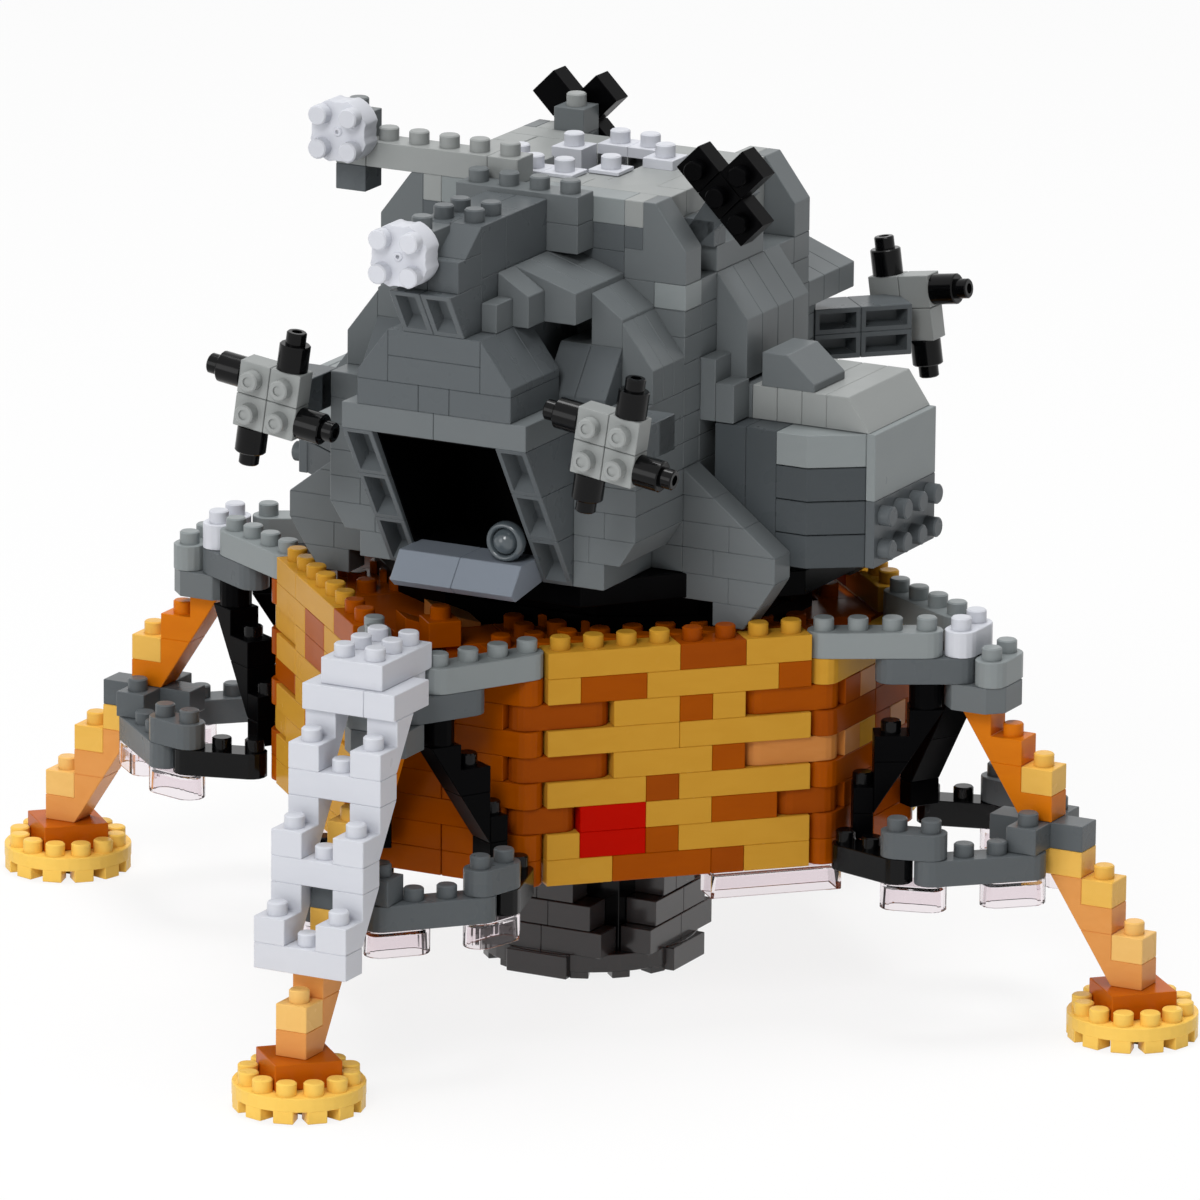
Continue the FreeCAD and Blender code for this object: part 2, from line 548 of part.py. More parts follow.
# ---------------------------------------------------------------- moving pieces
def dish(label, place):
    face = at(ASCENT, place[0], place[1] - 0.02, place[2], 90, Vector(1, 0, 0))
    disc = primitive("Prism", label + "_disc", face, Polygon=20, Circumradius="dishRadius", Height="dishDepth")
    studs = []
    for a in (-0.5, 0.5):
        for b in (-0.5, 0.5):
            studs.append(primitive("Prism", "%s_stud_%d" % (label, len(studs)),
                                   at(ASCENT, place[0] + a, place[1] - sheet.dishDepth / P, place[2] + b * P / L, 90,
                                      Vector(1, 0, 0)), Polygon=8, Circumradius="studRadius", Height="studHeight"))
    hole = primitive("Cylinder", label + "_hole", at(ASCENT, *place, 90, Vector(1, 0, 0)), Radius="socket",
                     Height="socketDepth")
    combined(label, [disc] + studs, (hole,))


def aerial(label, place, ahead):
    """T of four cells turned by 45 degrees on its peg, with its studs to the given side."""
    cells = [Part.makeBox(3 * P, L, P, Vector(-1.5 * P, 0, -P / 2)), Part.makeBox(P, L, P, Vector(-P / 2, 0, P / 2))]
    for a, b in ((-1, 0), (0, 0), (1, 0), (0, 1)):
        button = stud(0, 0, 0).rotate(Vector(), Vector(1, 0, 0), -90)
        button.translate(Vector(a * P, L, b * P))
        cells.append(button)
    shape = joined(cells).rotate(Vector(), Vector(0, 1, 0), 45)
    if ahead > 0:
        shape = shape.mirror(Vector(), Vector(0, 1, 0))
    shape.translate(point(*place) + Vector(0, -ahead * 0.1, 0))
    hole = Part.makeCylinder(sheet.socket, STUD_H + 0.3, point(*place) + Vector(0, ahead * 0.15, 0), Vector(0, -ahead, 0))
    add(label, shape.cut(hole), ASCENT)


dish("dish_upper", DISH_HIGH)
dish("dish_lower", DISH_LOW)
aerial("aerial_front", AERIAL_FRONT, 1)
aerial("aerial_rear", AERIAL_REAR, -1)

# ---------------------------------------------------------------- check and write
doc.recompute()
for item in doc.Objects:
    if "Invalid" in item.State or "Error" in item.State:
        raise RuntimeError("%s did not build: %s" % (item.Label, item.State))
os.makedirs("parts", exist_ok=True)
for feature in parts:
    shape = feature.Shape
    if shape.isNull() or not shape.isValid():
        raise RuntimeError("%s has no valid shape" % feature.Label)
    shape.exportStep("parts/%s.step" % feature.Label)
print("%d pieces written" % len(parts))
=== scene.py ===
import bpy
import math
from mathutils import Matrix, Vector


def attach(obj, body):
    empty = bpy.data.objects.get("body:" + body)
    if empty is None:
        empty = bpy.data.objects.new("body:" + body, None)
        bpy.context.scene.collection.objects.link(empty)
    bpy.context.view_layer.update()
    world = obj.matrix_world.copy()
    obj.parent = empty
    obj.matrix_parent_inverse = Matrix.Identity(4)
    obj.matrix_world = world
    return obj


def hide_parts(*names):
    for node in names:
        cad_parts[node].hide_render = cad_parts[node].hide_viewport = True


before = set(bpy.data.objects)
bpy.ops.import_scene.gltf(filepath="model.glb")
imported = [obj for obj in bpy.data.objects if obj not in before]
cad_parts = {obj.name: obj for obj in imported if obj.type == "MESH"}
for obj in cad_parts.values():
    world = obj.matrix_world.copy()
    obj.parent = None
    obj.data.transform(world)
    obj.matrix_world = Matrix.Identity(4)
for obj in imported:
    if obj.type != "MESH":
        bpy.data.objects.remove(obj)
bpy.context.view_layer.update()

print("frame loaded:", len(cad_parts), "nodes")

# metres; a seam is left on each side of a brick, and half of one above and below
unit = {"pitch": 0.004, "layer": 0.0031, "seam": 0.00002, "edge": 0.00008}
pitchInLayers = unit["pitch"] / unit["layer"]
seamAcross = unit["seam"] / unit["pitch"]
seamUp = unit["seam"] / unit["layer"]


# ---- materials
def linear(code):
    parts = [int(code[n:n + 2], 16) / 255 for n in (1, 3, 5)]
    return [c / 12.92 if c <= 0.04045 else ((c + 0.055) / 1.055) ** 2.4 for c in parts] + [1.0]


def addNode(tree, kind, settings=(), links=()):
    node = tree.nodes.new("ShaderNode" + kind)
    for name, value in dict(settings).items():
        if name in node.inputs:
            node.inputs[name].default_value = value
        else:
            setattr(node, name, value)
    for source, output, target in links:
        tree.links.new(source.outputs[output], node.inputs[target])
    return node


def newMaterial(name, settings):
    material = bpy.data.materials.new(name)
    material.use_nodes = True
    shader = material.node_tree.nodes["Principled BSDF"]
    for socket, value in settings.items():
        shader.inputs[socket].default_value = value
    return material, material.node_tree, shader


# Every opaque brick is injection-moulded ABS: an even, solid colour under a soft gloss, so edges and
# stud tops catch the light. The golds and browns are pearl ABS, whose flakes show as faint flow marks.
# Warm colours have an IOR below the 1.53 of ABS, which keeps them deep where light grazes them.
# finish: colour, deeper colour of its flow marks, roughness, contrast of the marks, specular level, IOR
finishes = {
    "gold": ("#CA9531", "#C18A27", 0.24, 0.3, 0.5, 1.14),  # pearl gold of the walls
    "lightGold": ("#EBB957", "#E2AC47", 0.26, 0.3, 0.5, 1.2),  # caps on the legs, almost yellow
    "paleGold": ("#F0C070", "#E7B461", 0.26, 0.3, 0.5, 1.2),  # the lowest caps
    "footGold": ("#F9CD64", "#F1C256", 0.26, 0.3, 0.5, 1.18),  # bright gold of the round feet
    "amber": ("#A34C00", "#984400", 0.16, 0.4, 0.5, 1.12),  # dark pearl, the glossiest of the walls
    "orange": ("#D97912", "#CE6C0C", 0.2, 0.4, 0.5, 1.14),  # upper slopes of the legs
    "brown": ("#9A4606", "#8E3E04", 0.2, 0.4, 0.5, 1.1),  # copper brown
    "rust": ("#BF5F0A", "#B25406", 0.2, 0.4, 0.5, 1.14),  # blocks at the ankles
    "peach": ("#C98342", "#BE7734", 0.22, 0.4, 0.5, 1.18),  # odd bricks in the walls, a milky brown
    "legPeach": ("#E29B54", "#D98F46", 0.22, 0.4, 0.5, 1.18),  # lower slopes of the legs
    "red": ("#BB0C00", "#B00A00", 0.25, 0.2, 0.5, 1.09),  # a plain deep red
    "lightGrey": ("#999C9B", "#939796", 0.32, 0.2, 0.12, 1.53),  # top of the cabin, boom and thrusters
    "armGrey": ("#8A9091", "#838A8B", 0.3, 0.2, 0.15, 1.53),  # outrigger arms, top rows of the tanks
    "midGrey": ("#6B7072", "#656A6D", 0.3, 0.2, 0.13, 1.53),  # most of the cabin
    "darkGrey": ("#5B6063", "#565B5E", 0.28, 0.2, 0.12, 1.53),  # nose, hatch and crosses of the legs
    "darkGreyPaintedShade": ("#494E51", "#454A4D", 0.28, 0.2, 0.1, 1.53),  # rows and back of the tanks: dark grey, painted darker for the shade on that side of the cabin
    "glossGrey": ("#4E565B", "#495156", 0.1, 0.2, 0.5, 1.53),  # ball and ring, polished
    "blueGrey": ("#868E99", "#808893", 0.3, 0.2, 0.15, 1.53),  # porch slopes, a cooler grey
    "black": ("#050506", "#040405", 0.14, 0.2, 0.16, 1.53),  # struts and tubes, sharp highlights
    "satinBlack": ("#030304", "#020203", 0.3, 0.2, 0.03, 1.53),  # braces, base and aerials, little sheen
    "blackWithPaintedReflection": ("#3A3738", "#343132", 0.18, 0.2, 0.5, 1.53),  # the nozzle: black, painted grey for the bright reflection that it shows
    "white": ("#D2D4DB", "#C9CCD4", 0.3, 0.2, 0.15, 1.53),  # ladder, dishes and collar, a cool white
}
# marks left by moulding and handling, sizes in mm: a flow mark, a dull patch and a sink wave
marksInMm = {"flowWide": 6.25, "flowTall": 2.38, "patch": 3.03, "wave": 1.54}
scaleOf = {mark: 1000 / size for mark, size in marksInMm.items()}
waveHeight, waveStrength = 0.0001, 0.06  # together only a few microns deep
glossier, duller = 0.06, 0.08  # how far handling takes the roughness from a finish's own


def dullInPatches(tree, shader, place, low, high):
    patches = addNode(tree, "TexNoise", {"Scale": scaleOf["patch"], "Detail": 2.0},
                      [(place, "Object", "Vector")])
    gloss = addNode(tree, "MapRange", {"To Min": low, "To Max": high}, [(patches, "Fac", "Value")])
    tree.links.new(gloss.outputs["Result"], shader.inputs["Roughness"])


def mouldedAbs(name, colour, marks, roughness, contrast, specular, ior):
    material, tree, shader = newMaterial(name, {"IOR": ior, "Specular IOR Level": specular})
    place = addNode(tree, "TexCoord")
    # flow marks, where the melt ran into the mould
    wide, tall = scaleOf["flowWide"], scaleOf["flowTall"]
    flow = addNode(tree, "Mapping", {"Scale": (wide, wide, tall)}, [(place, "Object", "Vector")])
    streaks = addNode(tree, "TexNoise", {"Scale": 1.0, "Detail": 3.0, "Distortion": 1.2},
                      [(flow, "Vector", "Vector")])
    ramp = addNode(tree, "MapRange", {"From Min": 0.35, "From Max": 0.7, "To Max": contrast},
                   [(streaks, "Fac", "Value")])
    mix = addNode(tree, "Mix", {"data_type": "RGBA"}, [(ramp, "Result", "Factor")])
    mix.inputs[6].default_value = linear(colour)
    mix.inputs[7].default_value = linear(marks)
    tree.links.new(mix.outputs[2], shader.inputs["Base Color"])
    dullInPatches(tree, shader, place, roughness - glossier, roughness + duller)
    # sink marks make the flat faces faintly wavy
    waves = addNode(tree, "TexNoise", {"Scale": scaleOf["wave"], "Detail": 1.0},
                    [(place, "Object", "Vector")])
    bump = addNode(tree, "Bump", {"Strength": waveStrength, "Distance": waveHeight},
                   [(waves, "Fac", "Height")])
    tree.links.new(bump.outputs["Normal"], shader.inputs["Normal"])
    return material


def clearPolycarbonate():
    # polished and see-through: dark lines at its edges, with a little pink in the thick ones
    look = {"IOR": 1.2, "Transmission Weight": 1.0, "Base Color": linear("#F2EBEE")}
    material, tree, shader = newMaterial("clearPolycarbonate", look)
    dullInPatches(tree, shader, addNode(tree, "TexCoord"), 0.02, 0.08)
    return material


paint = {name: mouldedAbs(name + "Abs", *values) for name, values in finishes.items()}
paint["clear"] = clearPolycarbonate()
print("materials made:", len(paint))

# ---- bricks: each kind is modelled once, and every brick laid is a copy of it
kinds = {}
pile = []  # what is laid for the piece in hand
smoothUnder = math.radians(35)


def deselectAll():
    bpy.ops.object.select_all(action="DESELECT")


def selectWhere(thing, test):
    for group in (thing.data.vertices, thing.data.edges, thing.data.polygons):
        for element in group:
            element.select = False
    for face in thing.data.polygons:
        face.select = test(face)


def bevelWhere(thing, test, width, segments=1):
    selectWhere(thing, test)
    bpy.ops.object.mode_set(mode="EDIT")
    bpy.ops.mesh.bevel(offset=width, segments=segments)
    bpy.ops.object.mode_set(mode="OBJECT")


def recess(thing, test, rim, push, taper=1.0):
    selectWhere(thing, test)
    bpy.ops.object.mode_set(mode="EDIT")
    bpy.ops.mesh.inset(thickness=rim)
    bpy.ops.mesh.extrude_region_move(TRANSFORM_OT_translate={"value": push})
    if taper != 1.0:
        bpy.ops.transform.resize(value=(taper,) * 3)
    bpy.ops.object.mode_set(mode="OBJECT")


def isTop(face):
    return face.normal.z > 0.9


def standingCylinder(radius, height, sides):
    deselectAll()
    middle = (0, 0, height / 2)
    bpy.ops.mesh.primitive_cylinder_add(vertices=sides, radius=radius, depth=height, location=middle)
    cylinder = bpy.context.object
    cylinder.data.transform(cylinder.matrix_world)
    cylinder.matrix_world = Matrix.Identity(4)
    return cylinder


def keepKind(key, thing):
    thing.data.name = "kind_" + str(len(kinds))
    kinds[key] = thing.data
    bpy.data.objects.remove(thing)
    return kinds[key]


studSize = {"radius": 0.0012, "height": 0.0015, "rim": 0.00016, "sides": 16,
            "dimpleRim": 0.00042, "dimple": 0.00022}


def studKind(dimpled=False):
    key = ("stud", dimpled)
    if key in kinds:
        return kinds[key]
    thing = standingCylinder(studSize["radius"], studSize["height"], studSize["sides"])
    bevelWhere(thing, isTop, studSize["rim"])
    if dimpled:
        recess(thing, isTop, studSize["dimpleRim"], (0, 0, -studSize["dimple"]))
    # a stud grows out of its brick, so its bottom is left off
    selectWhere(thing, lambda face: face.normal.z < -0.9 and face.center.z < 0.0001)
    bpy.ops.object.mode_set(mode="EDIT")
    bpy.ops.mesh.delete(type="ONLY_FACE")
    bpy.ops.object.mode_set(mode="OBJECT")
    bpy.ops.object.shade_smooth_by_angle(angle=smoothUnder)
    return keepKind(key, thing)


# hollow: rim, depth and taper, after the way that the open face looks
brickHollow = (0.0005, 0.0022, 0.75)
clearHollow = (0.0004, 0.0024, 0.96)


def outlineKind(outline, start, end, bevel=None, hollow=None):
    # an outline of (across, layers) drawn out along
    key = (tuple((round(a, 4), round(b, 4)) for a, b in outline), round(end - start, 4), bevel, hollow)
    if key in kinds:
        return kinds[key]
    deselectAll()
    bpy.ops.mesh.primitive_circle_add(vertices=len(outline), fill_type="NGON")
    thing = bpy.context.object
    for vertex, (across, level) in zip(thing.data.vertices, outline):
        vertex.co = (across * unit["pitch"], 0, level * unit["layer"])
    bpy.ops.object.mode_set(mode="EDIT")
    bpy.ops.mesh.select_all(action="SELECT")
    bpy.ops.mesh.extrude_region_move(TRANSFORM_OT_translate={"value": (0, (end - start) * unit["pitch"], 0)})
    bpy.ops.mesh.select_all(action="SELECT")
    bpy.ops.mesh.normals_make_consistent(inside=False)
    bpy.ops.mesh.bevel(offset=bevel or unit["edge"], segments=1)
    bpy.ops.object.mode_set(mode="OBJECT")
    if hollow:
        way, rim, depth, taper = Vector(hollow[:3]), *hollow[3:]
        widest = max(thing.data.polygons, key=lambda face: face.area * (face.normal.dot(way) > 0.9))
        recess(thing, lambda face: face.index == widest.index, rim, -widest.normal * depth, taper)
    return keepKind(key, thing)


tubeSize = {"sides": 20, "rim": 0.00014, "wall": 0.35, "bore": 0.0004}  # the wall is a share of the radius


def tubeKind(radius, length):
    key = ("tube", radius, length)
    if key in kinds:
        return kinds[key]
    thing = standingCylinder(radius, length, tubeSize["sides"])
    bevelWhere(thing, isTop, tubeSize["rim"])
    recess(thing, isTop, radius * tubeSize["wall"], (0, 0, -tubeSize["bore"]))
    bpy.ops.object.shade_smooth_by_angle(angle=smoothUnder)
    return keepKind(key, thing)


def addToScene(thing):
    bpy.context.scene.collection.objects.link(thing)


def copyOf(mesh, matrix, colour):
    thing = bpy.data.objects.new("brick", mesh.copy())
    thing.data.transform(matrix)
    thing.data.materials.clear()
    thing.data.materials.append(paint[colour])
    addToScene(thing)
    pile.append(thing)


def spot(across, along, level):
    return Vector((across * unit["pitch"], along * unit["pitch"], level * unit["layer"]))


def turn(degrees, axis="Z"):
    return Matrix.Rotation(math.radians(degrees), 4, axis)


def moved(place, across, along, level):
    return place @ Matrix.Translation(spot(across, along, level))


def stud(place, across, along, level, colour, lean=None, dimpled=False):
    matrix = moved(place, across, along, level)
    copyOf(studKind(dimpled), matrix @ lean if lean else matrix, colour)


def studRows(place, acrosses, alongs, level, colour):
    for across in acrosses:
        for along in alongs:
            stud(place, across, along, level, colour)


def box(place, low, high, bottom, top, colour, bevel=None, hollow=None):
    wide = high[0] - low[0] - 2 * seamAcross
    deep = high[1] - low[1] - 2 * seamAcross
    tall = top - bottom - seamUp
    mesh = outlineKind(((0, 0), (wide, 0), (wide, tall), (0, tall)), 0, deep, bevel, hollow)
    copyOf(mesh, moved(place, low[0] + seamAcross, low[1] + seamAcross, bottom + seamUp / 2), colour)


def slab(place, outline, start, end, colour, bevel=None, hollow=None):
    mesh = outlineKind(outline, start + seamAcross, end - seamAcross, bevel, hollow)
    copyOf(mesh, moved(place, 0, start + seamAcross, 0), colour)


def slices(place, outline, start, end, count, colour):
    size = (end - start) / count
    for n in range(count):
        slab(place, outline, start + n * size, start + (n + 1) * size, colour)


def upright(place, corners, bottom, top, colour, hollow=None):
    outline = [(across, -along * pitchInLayers) for across, along in corners]
    mesh = outlineKind(outline, 0, (top - bottom) / pitchInLayers, None, hollow)
    copyOf(mesh, moved(place, 0, 0, bottom) @ turn(90, "X"), colour)


barEnd = {"radius": 0.485, "steps": 8}  # in pitches


def roundBar(place, start, end, bottom, top, colour, ends=(True, True), hollow=None):
    heading = math.atan2(end[1] - start[1], end[0] - start[0])
    length = math.hypot(end[0] - start[0], end[1] - start[1])
    radius, steps = barEnd["radius"], barEnd["steps"]
    corners = []
    for centre, first, rounded in ((length, -90, ends[1]), (0.0, 90, ends[0])):
        if rounded:
            for step in range(steps + 1):
                angle = math.radians(first + 180 / steps * step)
                corners.append((centre + radius * math.cos(angle), radius * math.sin(angle)))
        else:
            side = radius if first < 0 else -radius
            corners += [(centre + side, -side), (centre + side, side)]
    along = moved(place, start[0], start[1], 0) @ turn(math.degrees(heading))
    upright(along, corners, bottom + seamUp / 2, top - seamUp / 2, colour, hollow)


def circleOf(radius, sides):
    angles = [2 * math.pi * n / sides for n in range(sides)]
    return [(radius * math.cos(angle), radius * math.sin(angle)) for angle in angles]


def fourfold(quarter):
    # a plan whose quarters mirror each other, from the front corners on the right
    right = [*quarter, *((across, -along) for across, along in reversed(quarter))]
    left = [(-across, along) for across, along in reversed(right)]
    return [left[-1], *right, *left[:-1]]


def stepOutline(out, top):
    # a brick two layers high that leans outward as it goes down, with a step in its upper side
    return ((out - 1.5, top), (out - 0.5, top), (out - 0.5, top - 1), (out + 0.5, top - 1),
            (out + 0.5, top - 2), (out - 0.5, top - 2))


def onSide(side, outline):
    # outlines are drawn for the right-hand side, and mirrored for the left
    return outline if side > 0 else [(-across, level) for across, level in outline][::-1]


def finishPiece(name, node, body="lander"):
    deselectAll()
    for thing in pile:
        thing.select_set(True)
    bpy.context.view_layer.objects.active = pile[0]
    if len(pile) > 1:
        bpy.ops.object.join()
    piece = bpy.context.view_layer.objects.active
    piece.name = name
    piece.data.name = name
    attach(piece, body)
    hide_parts(node)
    pile.clear()


# ---- descent stage
wall = {"studs": 8, "corner": 5, "bottom": 6, "top": 15, "recess": 0.12}
wall["half"] = wall["studs"] / 2
wall["end"] = (wall["studs"] + 1) / 2
wall["axis"] = wall["end"] + wall["corner"] / math.sqrt(2)
wall["face"] = wall["axis"] + 0.5
corners = {"front_right": turn(-45), "back_right": turn(45), "back_left": turn(135), "front_left": turn(-135)}
sides = {"front": turn(0), "right": turn(90), "back": turn(180), "left": turn(270)}


def courseBricks(text):
    # colour and studs of each brick, from the left end; a capital is flush, a small letter is set back
    shades = {"g": "gold", "a": "amber", "b": "brown", "p": "peach", "r": "red"}
    words = [(word[0], int(word[1:])) for word in text.split()]
    across = -sum(studs for letter, studs in words) / 2
    for letter, studs in words:
        yield shades[letter.lower()], studs, letter.isupper(), across
        across += studs


# courses from the top down
wallCourses = {
    "front": ("G4 B2 G2", "G1 A2 G4 A1", "b2 G2 A1 G1 a2", "G4 G4", "b2 G3 A1 p2",
              "G3 B1 G4", "b1 R2 G2 A2 b1", "G1 R2 A1 G4", "G2 A3 B1 G2"),
    "right": ("G3 B2 G3", "A2 G4 A2", "a2 G3 A1 b2", "G2 A2 G4", "b2 A1 G3 a2",
              "G4 B2 G2", "a1 G3 A2 G1 b1", "G2 B1 G5", "G3 A2 G3"),
    "back": ("G4 G1 B1 G2", "G2 A2 G4", "b2 G4 a2", "G4 A1 G3", "a2 G2 B1 G1 b2",
             "G3 G5", "b1 G2 A2 G2 a1", "G4 B1 G3", "G2 A2 G4"),
    "left": ("G2 G4 A2", "G3 A2 G3", "g2 G1 A2 G1 a2", "G2 G3 A1 G2", "a2 G4 g2",
             "G3 A3 G2", "g1 G2 A2 G2 a1", "G3 A2 G3", "G3 G2 G3"),
}
topStuds = {"front": "G4 B2 G2", "right": "G3 B2 G3", "back": "G5 B1 G2", "left": "G6 A2"}
for side, place in sides.items():
    for course, text in enumerate(wallCourses[side]):
        top = wall["top"] - course
        for colour, studs, flush, across in courseBricks(text):
            if flush:
                box(place, (across, -wall["face"]), (across + studs, -wall["face"] + 1), top - 1, top, colour)
            else:
                first = -wall["end"] if across < 0 else across + 0.5
                last = across + studs - 0.5 if across < 0 else wall["end"]
                back = -wall["axis"] + wall["recess"]
                roundBar(place, (first, back), (last, back), top - 1, top, colour)
    for colour, studs, flush, across in courseBricks(topStuds[side]):
        studRows(place, [across + n + 0.5 for n in range(studs)], (-wall["axis"],), wall["top"], colour)
    finishPiece("wall_bricks_" + side, "wall_" + side)
print("walls laid")

# outriggers: two bars on each corner, from pivots at the ends of the walls to a hub over the leg
outrigger = {"arm": 4, "drift": 2.0, "notch": 0.45}
outrigger["root"] = (wall["end"] + wall["axis"]) / math.sqrt(2)
outrigger["run"] = math.sqrt(outrigger["arm"] ** 2 - outrigger["drift"] ** 2)
outrigger["tie"] = outrigger["root"] + outrigger["run"]
pivot, root, tie = wall["corner"] / 2, outrigger["root"], outrigger["tie"]
ankleOut = tie + 5.5

# the slanted walls between: a 5 is two bars with their round ends on the pivots, and a gap of one stud
cornerCourses = {
    "front_left": ("A5", "A4", "A5", "A4", "A5", "A4", "A5", "A5"),
    "front_right": ("G5", "B1 P1 B1 A1", "B5", "P1 G1 B1 P1", "A5", "B2 A2", "B5", "A5"),
    "back_left": ("A5", "B2 A2", "B5", "A4", "A5", "A2 B2", "B5", "A5"),
    "back_right": ("A5", "A2 B2", "B5", "B2 A2", "A5", "A4", "B5", "A5"),
}
for corner, place in corners.items():
    for course, text in enumerate(cornerCourses[corner]):
        top = wall["top"] - 1 - course
        for colour, studs, flush, across in courseBricks(text):
            if studs == wall["corner"]:
                roundBar(place, (root, -pivot), (root, -0.5), top - 1, top, colour, (True, False))
                roundBar(place, (root, 0.5), (root, pivot), top - 1, top, colour, (False, True))
            else:
                box(place, (root - 0.5, across), (root + 0.5, across + studs), top - 1, top, colour)
    finishPiece("corner_bricks_" + corner, "corner_" + corner)

# deck: a core behind the walls, under plates with shiny amber studs at the front and smooth tiles at the
# back, and a stepped brick with two slopes at the front left corner
deck = {"inner": wall["face"] - 1, "coreTop": wall["top"] - 1.02, "under": wall["top"] - 1.05,
        "top": wall["top"] - 0.7, "stepTop": wall["top"] + 0.3}
deckPlates = {
    # colour, studs or not: left, front, right and back edge of each plate
    ("amber", True): ((-4, -7, 0, -6), (0, -7, 4, -6), (-5, -6, -2, -5), (-2, -6, 3, -5),
                      (-4, -5, 0, -3), (-7, 1, -5, 4)),
    ("amber", False): ((-6, -5, -4, -3),),
    ("brown", True): ((3, -6, 5, -5), (0, -5, 3, -3), (6, -3, 7, 4), (-4, 6, 4, 7)),
    ("brown", False): ((-7, -3, -5, 1), (5, -5, 7, -3), (4, 4, 6, 6), (-6, 4, -4, 6)),
}
centred = Matrix.Identity(4)
half, inner, deckTop = wall["half"], deck["inner"], deck["top"]
core = fourfold(((half, -inner), (inner, -half)))
upright(centred, core, wall["bottom"] + 0.5, deck["coreTop"], "brown")
for (colour, studded), plates in deckPlates.items():
    for left, front, right, back in plates:
        box(centred, (left, front), (right, back), deck["under"], deckTop, colour)
        if studded:
            acrosses = [n + 0.5 for n in range(left, right)]
            studRows(centred, acrosses, [n + 0.5 for n in range(front, back)], deckTop, colour)
box(centred, (-6.6, -5.2), (-5.6, -4.2), deckTop, deck["stepTop"], "amber")
stud(centred, -6.1, -4.7, deck["stepTop"], "amber")
steep = ((-7, deckTop), (-5.6, deckTop), (-5.6, deckTop + 0.2), (-7, deckTop + 0.9))
gentle = ((-5.6, deckTop), (-4.4, deckTop), (-4.4, deckTop + 0.15), (-5.6, deckTop + 0.6))
slab(centred, steep, -4.2, -3.2, "amber")
slab(centred, gentle, -3.2, -1.4, "peach")
finishPiece("deck_plates", "deck")
print("corners and deck laid")

legSize = {"width": 1, "cross": 0.48, "crossOut": 2.5, "crossTop": 8, "ankle": 2}
treads = (
    # out from the hub, top level, colour, cap
    (1.5, 12, "orange", None), (2.5, 10, "orange", "lightGold"),
    (4.5, 6, "legPeach", "lightGold"), (5.5, 4, "legPeach", "paleGold"),
)
for corner, place in corners.items():
    top = wall["top"]
    for side in (-1, 1):
        step = Vector((outrigger["run"], -side * outrigger["drift"])) / outrigger["arm"]
        spots = [Vector((root, side * pivot)) + n * step for n in range(5)]
        roundBar(place, spots[0], spots[3], top - 1, top, "armGrey")
        for out, across in spots[:4]:
            stud(place, out, across, top, "armGrey")
        roundBar(place, spots[2], spots[4], top - 2, top - 1, "darkGrey")
    for out, level, colour in ((tie, top, "white"), (tie + 1, top - 1, "armGrey")):
        roundBar(place, (out, -0.5), (out, 0.5), level - 1, level, colour)
        if corner != "front_left":  # the ladder stands on this one
            studRows(place, (out,), (-0.5, 0.5), level, colour)
    cut = outrigger["notch"]
    hub = fourfold(((1 - cut, -1), (1, cut - 1)))
    upright(moved(place, tie + 0.5, 0, 0), hub, top - 3, top - 2, "midGrey")
    finishPiece("outrigger_bricks_" + corner, "outrigger_" + corner)

    edge = legSize["width"] / 2
    for reach, level, colour, cap in treads:
        out = tie + reach
        slab(place, stepOutline(out, level), -edge, edge, colour)
        if corner == "front_left" and level == 6:  # the foot of the ladder is there
            continue
        if cap:
            box(place, (out - edge, -edge), (out + edge, edge), level - 1, level, cap)
        stud(place, out, 0, level if cap else level - 1, cap or colour)
    middle, thick, top = tie + legSize["crossOut"], legSize["cross"], legSize["crossTop"]
    box(place, (middle - 1.5, -thick), (middle + 1.5, thick), top - 1, top, "darkGrey")
    for low in (-1 - thick, thick):
        box(place, (middle - thick, low), (middle + thick, low + 1), top - 1, top, "darkGrey")
    studRows(place, (middle,), (-1, 1), top, "darkGrey")
    box(place, (middle - edge, -edge), (middle + 1 + edge, edge), top - 2, top - 1, "lightGold")
    wide = legSize["ankle"] / 2
    box(Matrix.Translation(place @ spot(ankleOut, 0, 0)), (-wide, -wide), (wide, wide), 1, 2, "rust")
    finishPiece("leg_bricks_" + corner, "leg_" + corner)

# feet: a round plate with a ring of studs, on short ribs and a square boss
footSize = {"radius": 1.925, "thick": 0.0016, "sides": 36, "studs": 12, "studRing": 1.5,
            "rib": (1.3, 1.9, 0.3), "boss": 0.8, "lift": 0.01, "overlap": 0.05}
for corner, around in corners.items():
    place = moved(around, ankleOut, 0, 0)
    under = 1 - footSize["thick"] / unit["layer"]
    upright(place, circleOf(footSize["radius"], footSize["sides"]), under, 1, "footGold")
    low, high = footSize["lift"], under + footSize["overlap"]
    near, far, edge = footSize["rib"]
    for n in range(footSize["studs"]):
        spoke = place @ turn(360 / footSize["studs"] * (n + 0.5))
        stud(spoke, footSize["studRing"], 0, 1, "footGold")
        box(spoke, (near, -edge), (far, edge), low, high, "footGold")
    boss = footSize["boss"]
    box(place, (-boss, -boss), (boss, boss), low, high, "gold")
    finishPiece("foot_disc_" + corner, "foot_" + corner)

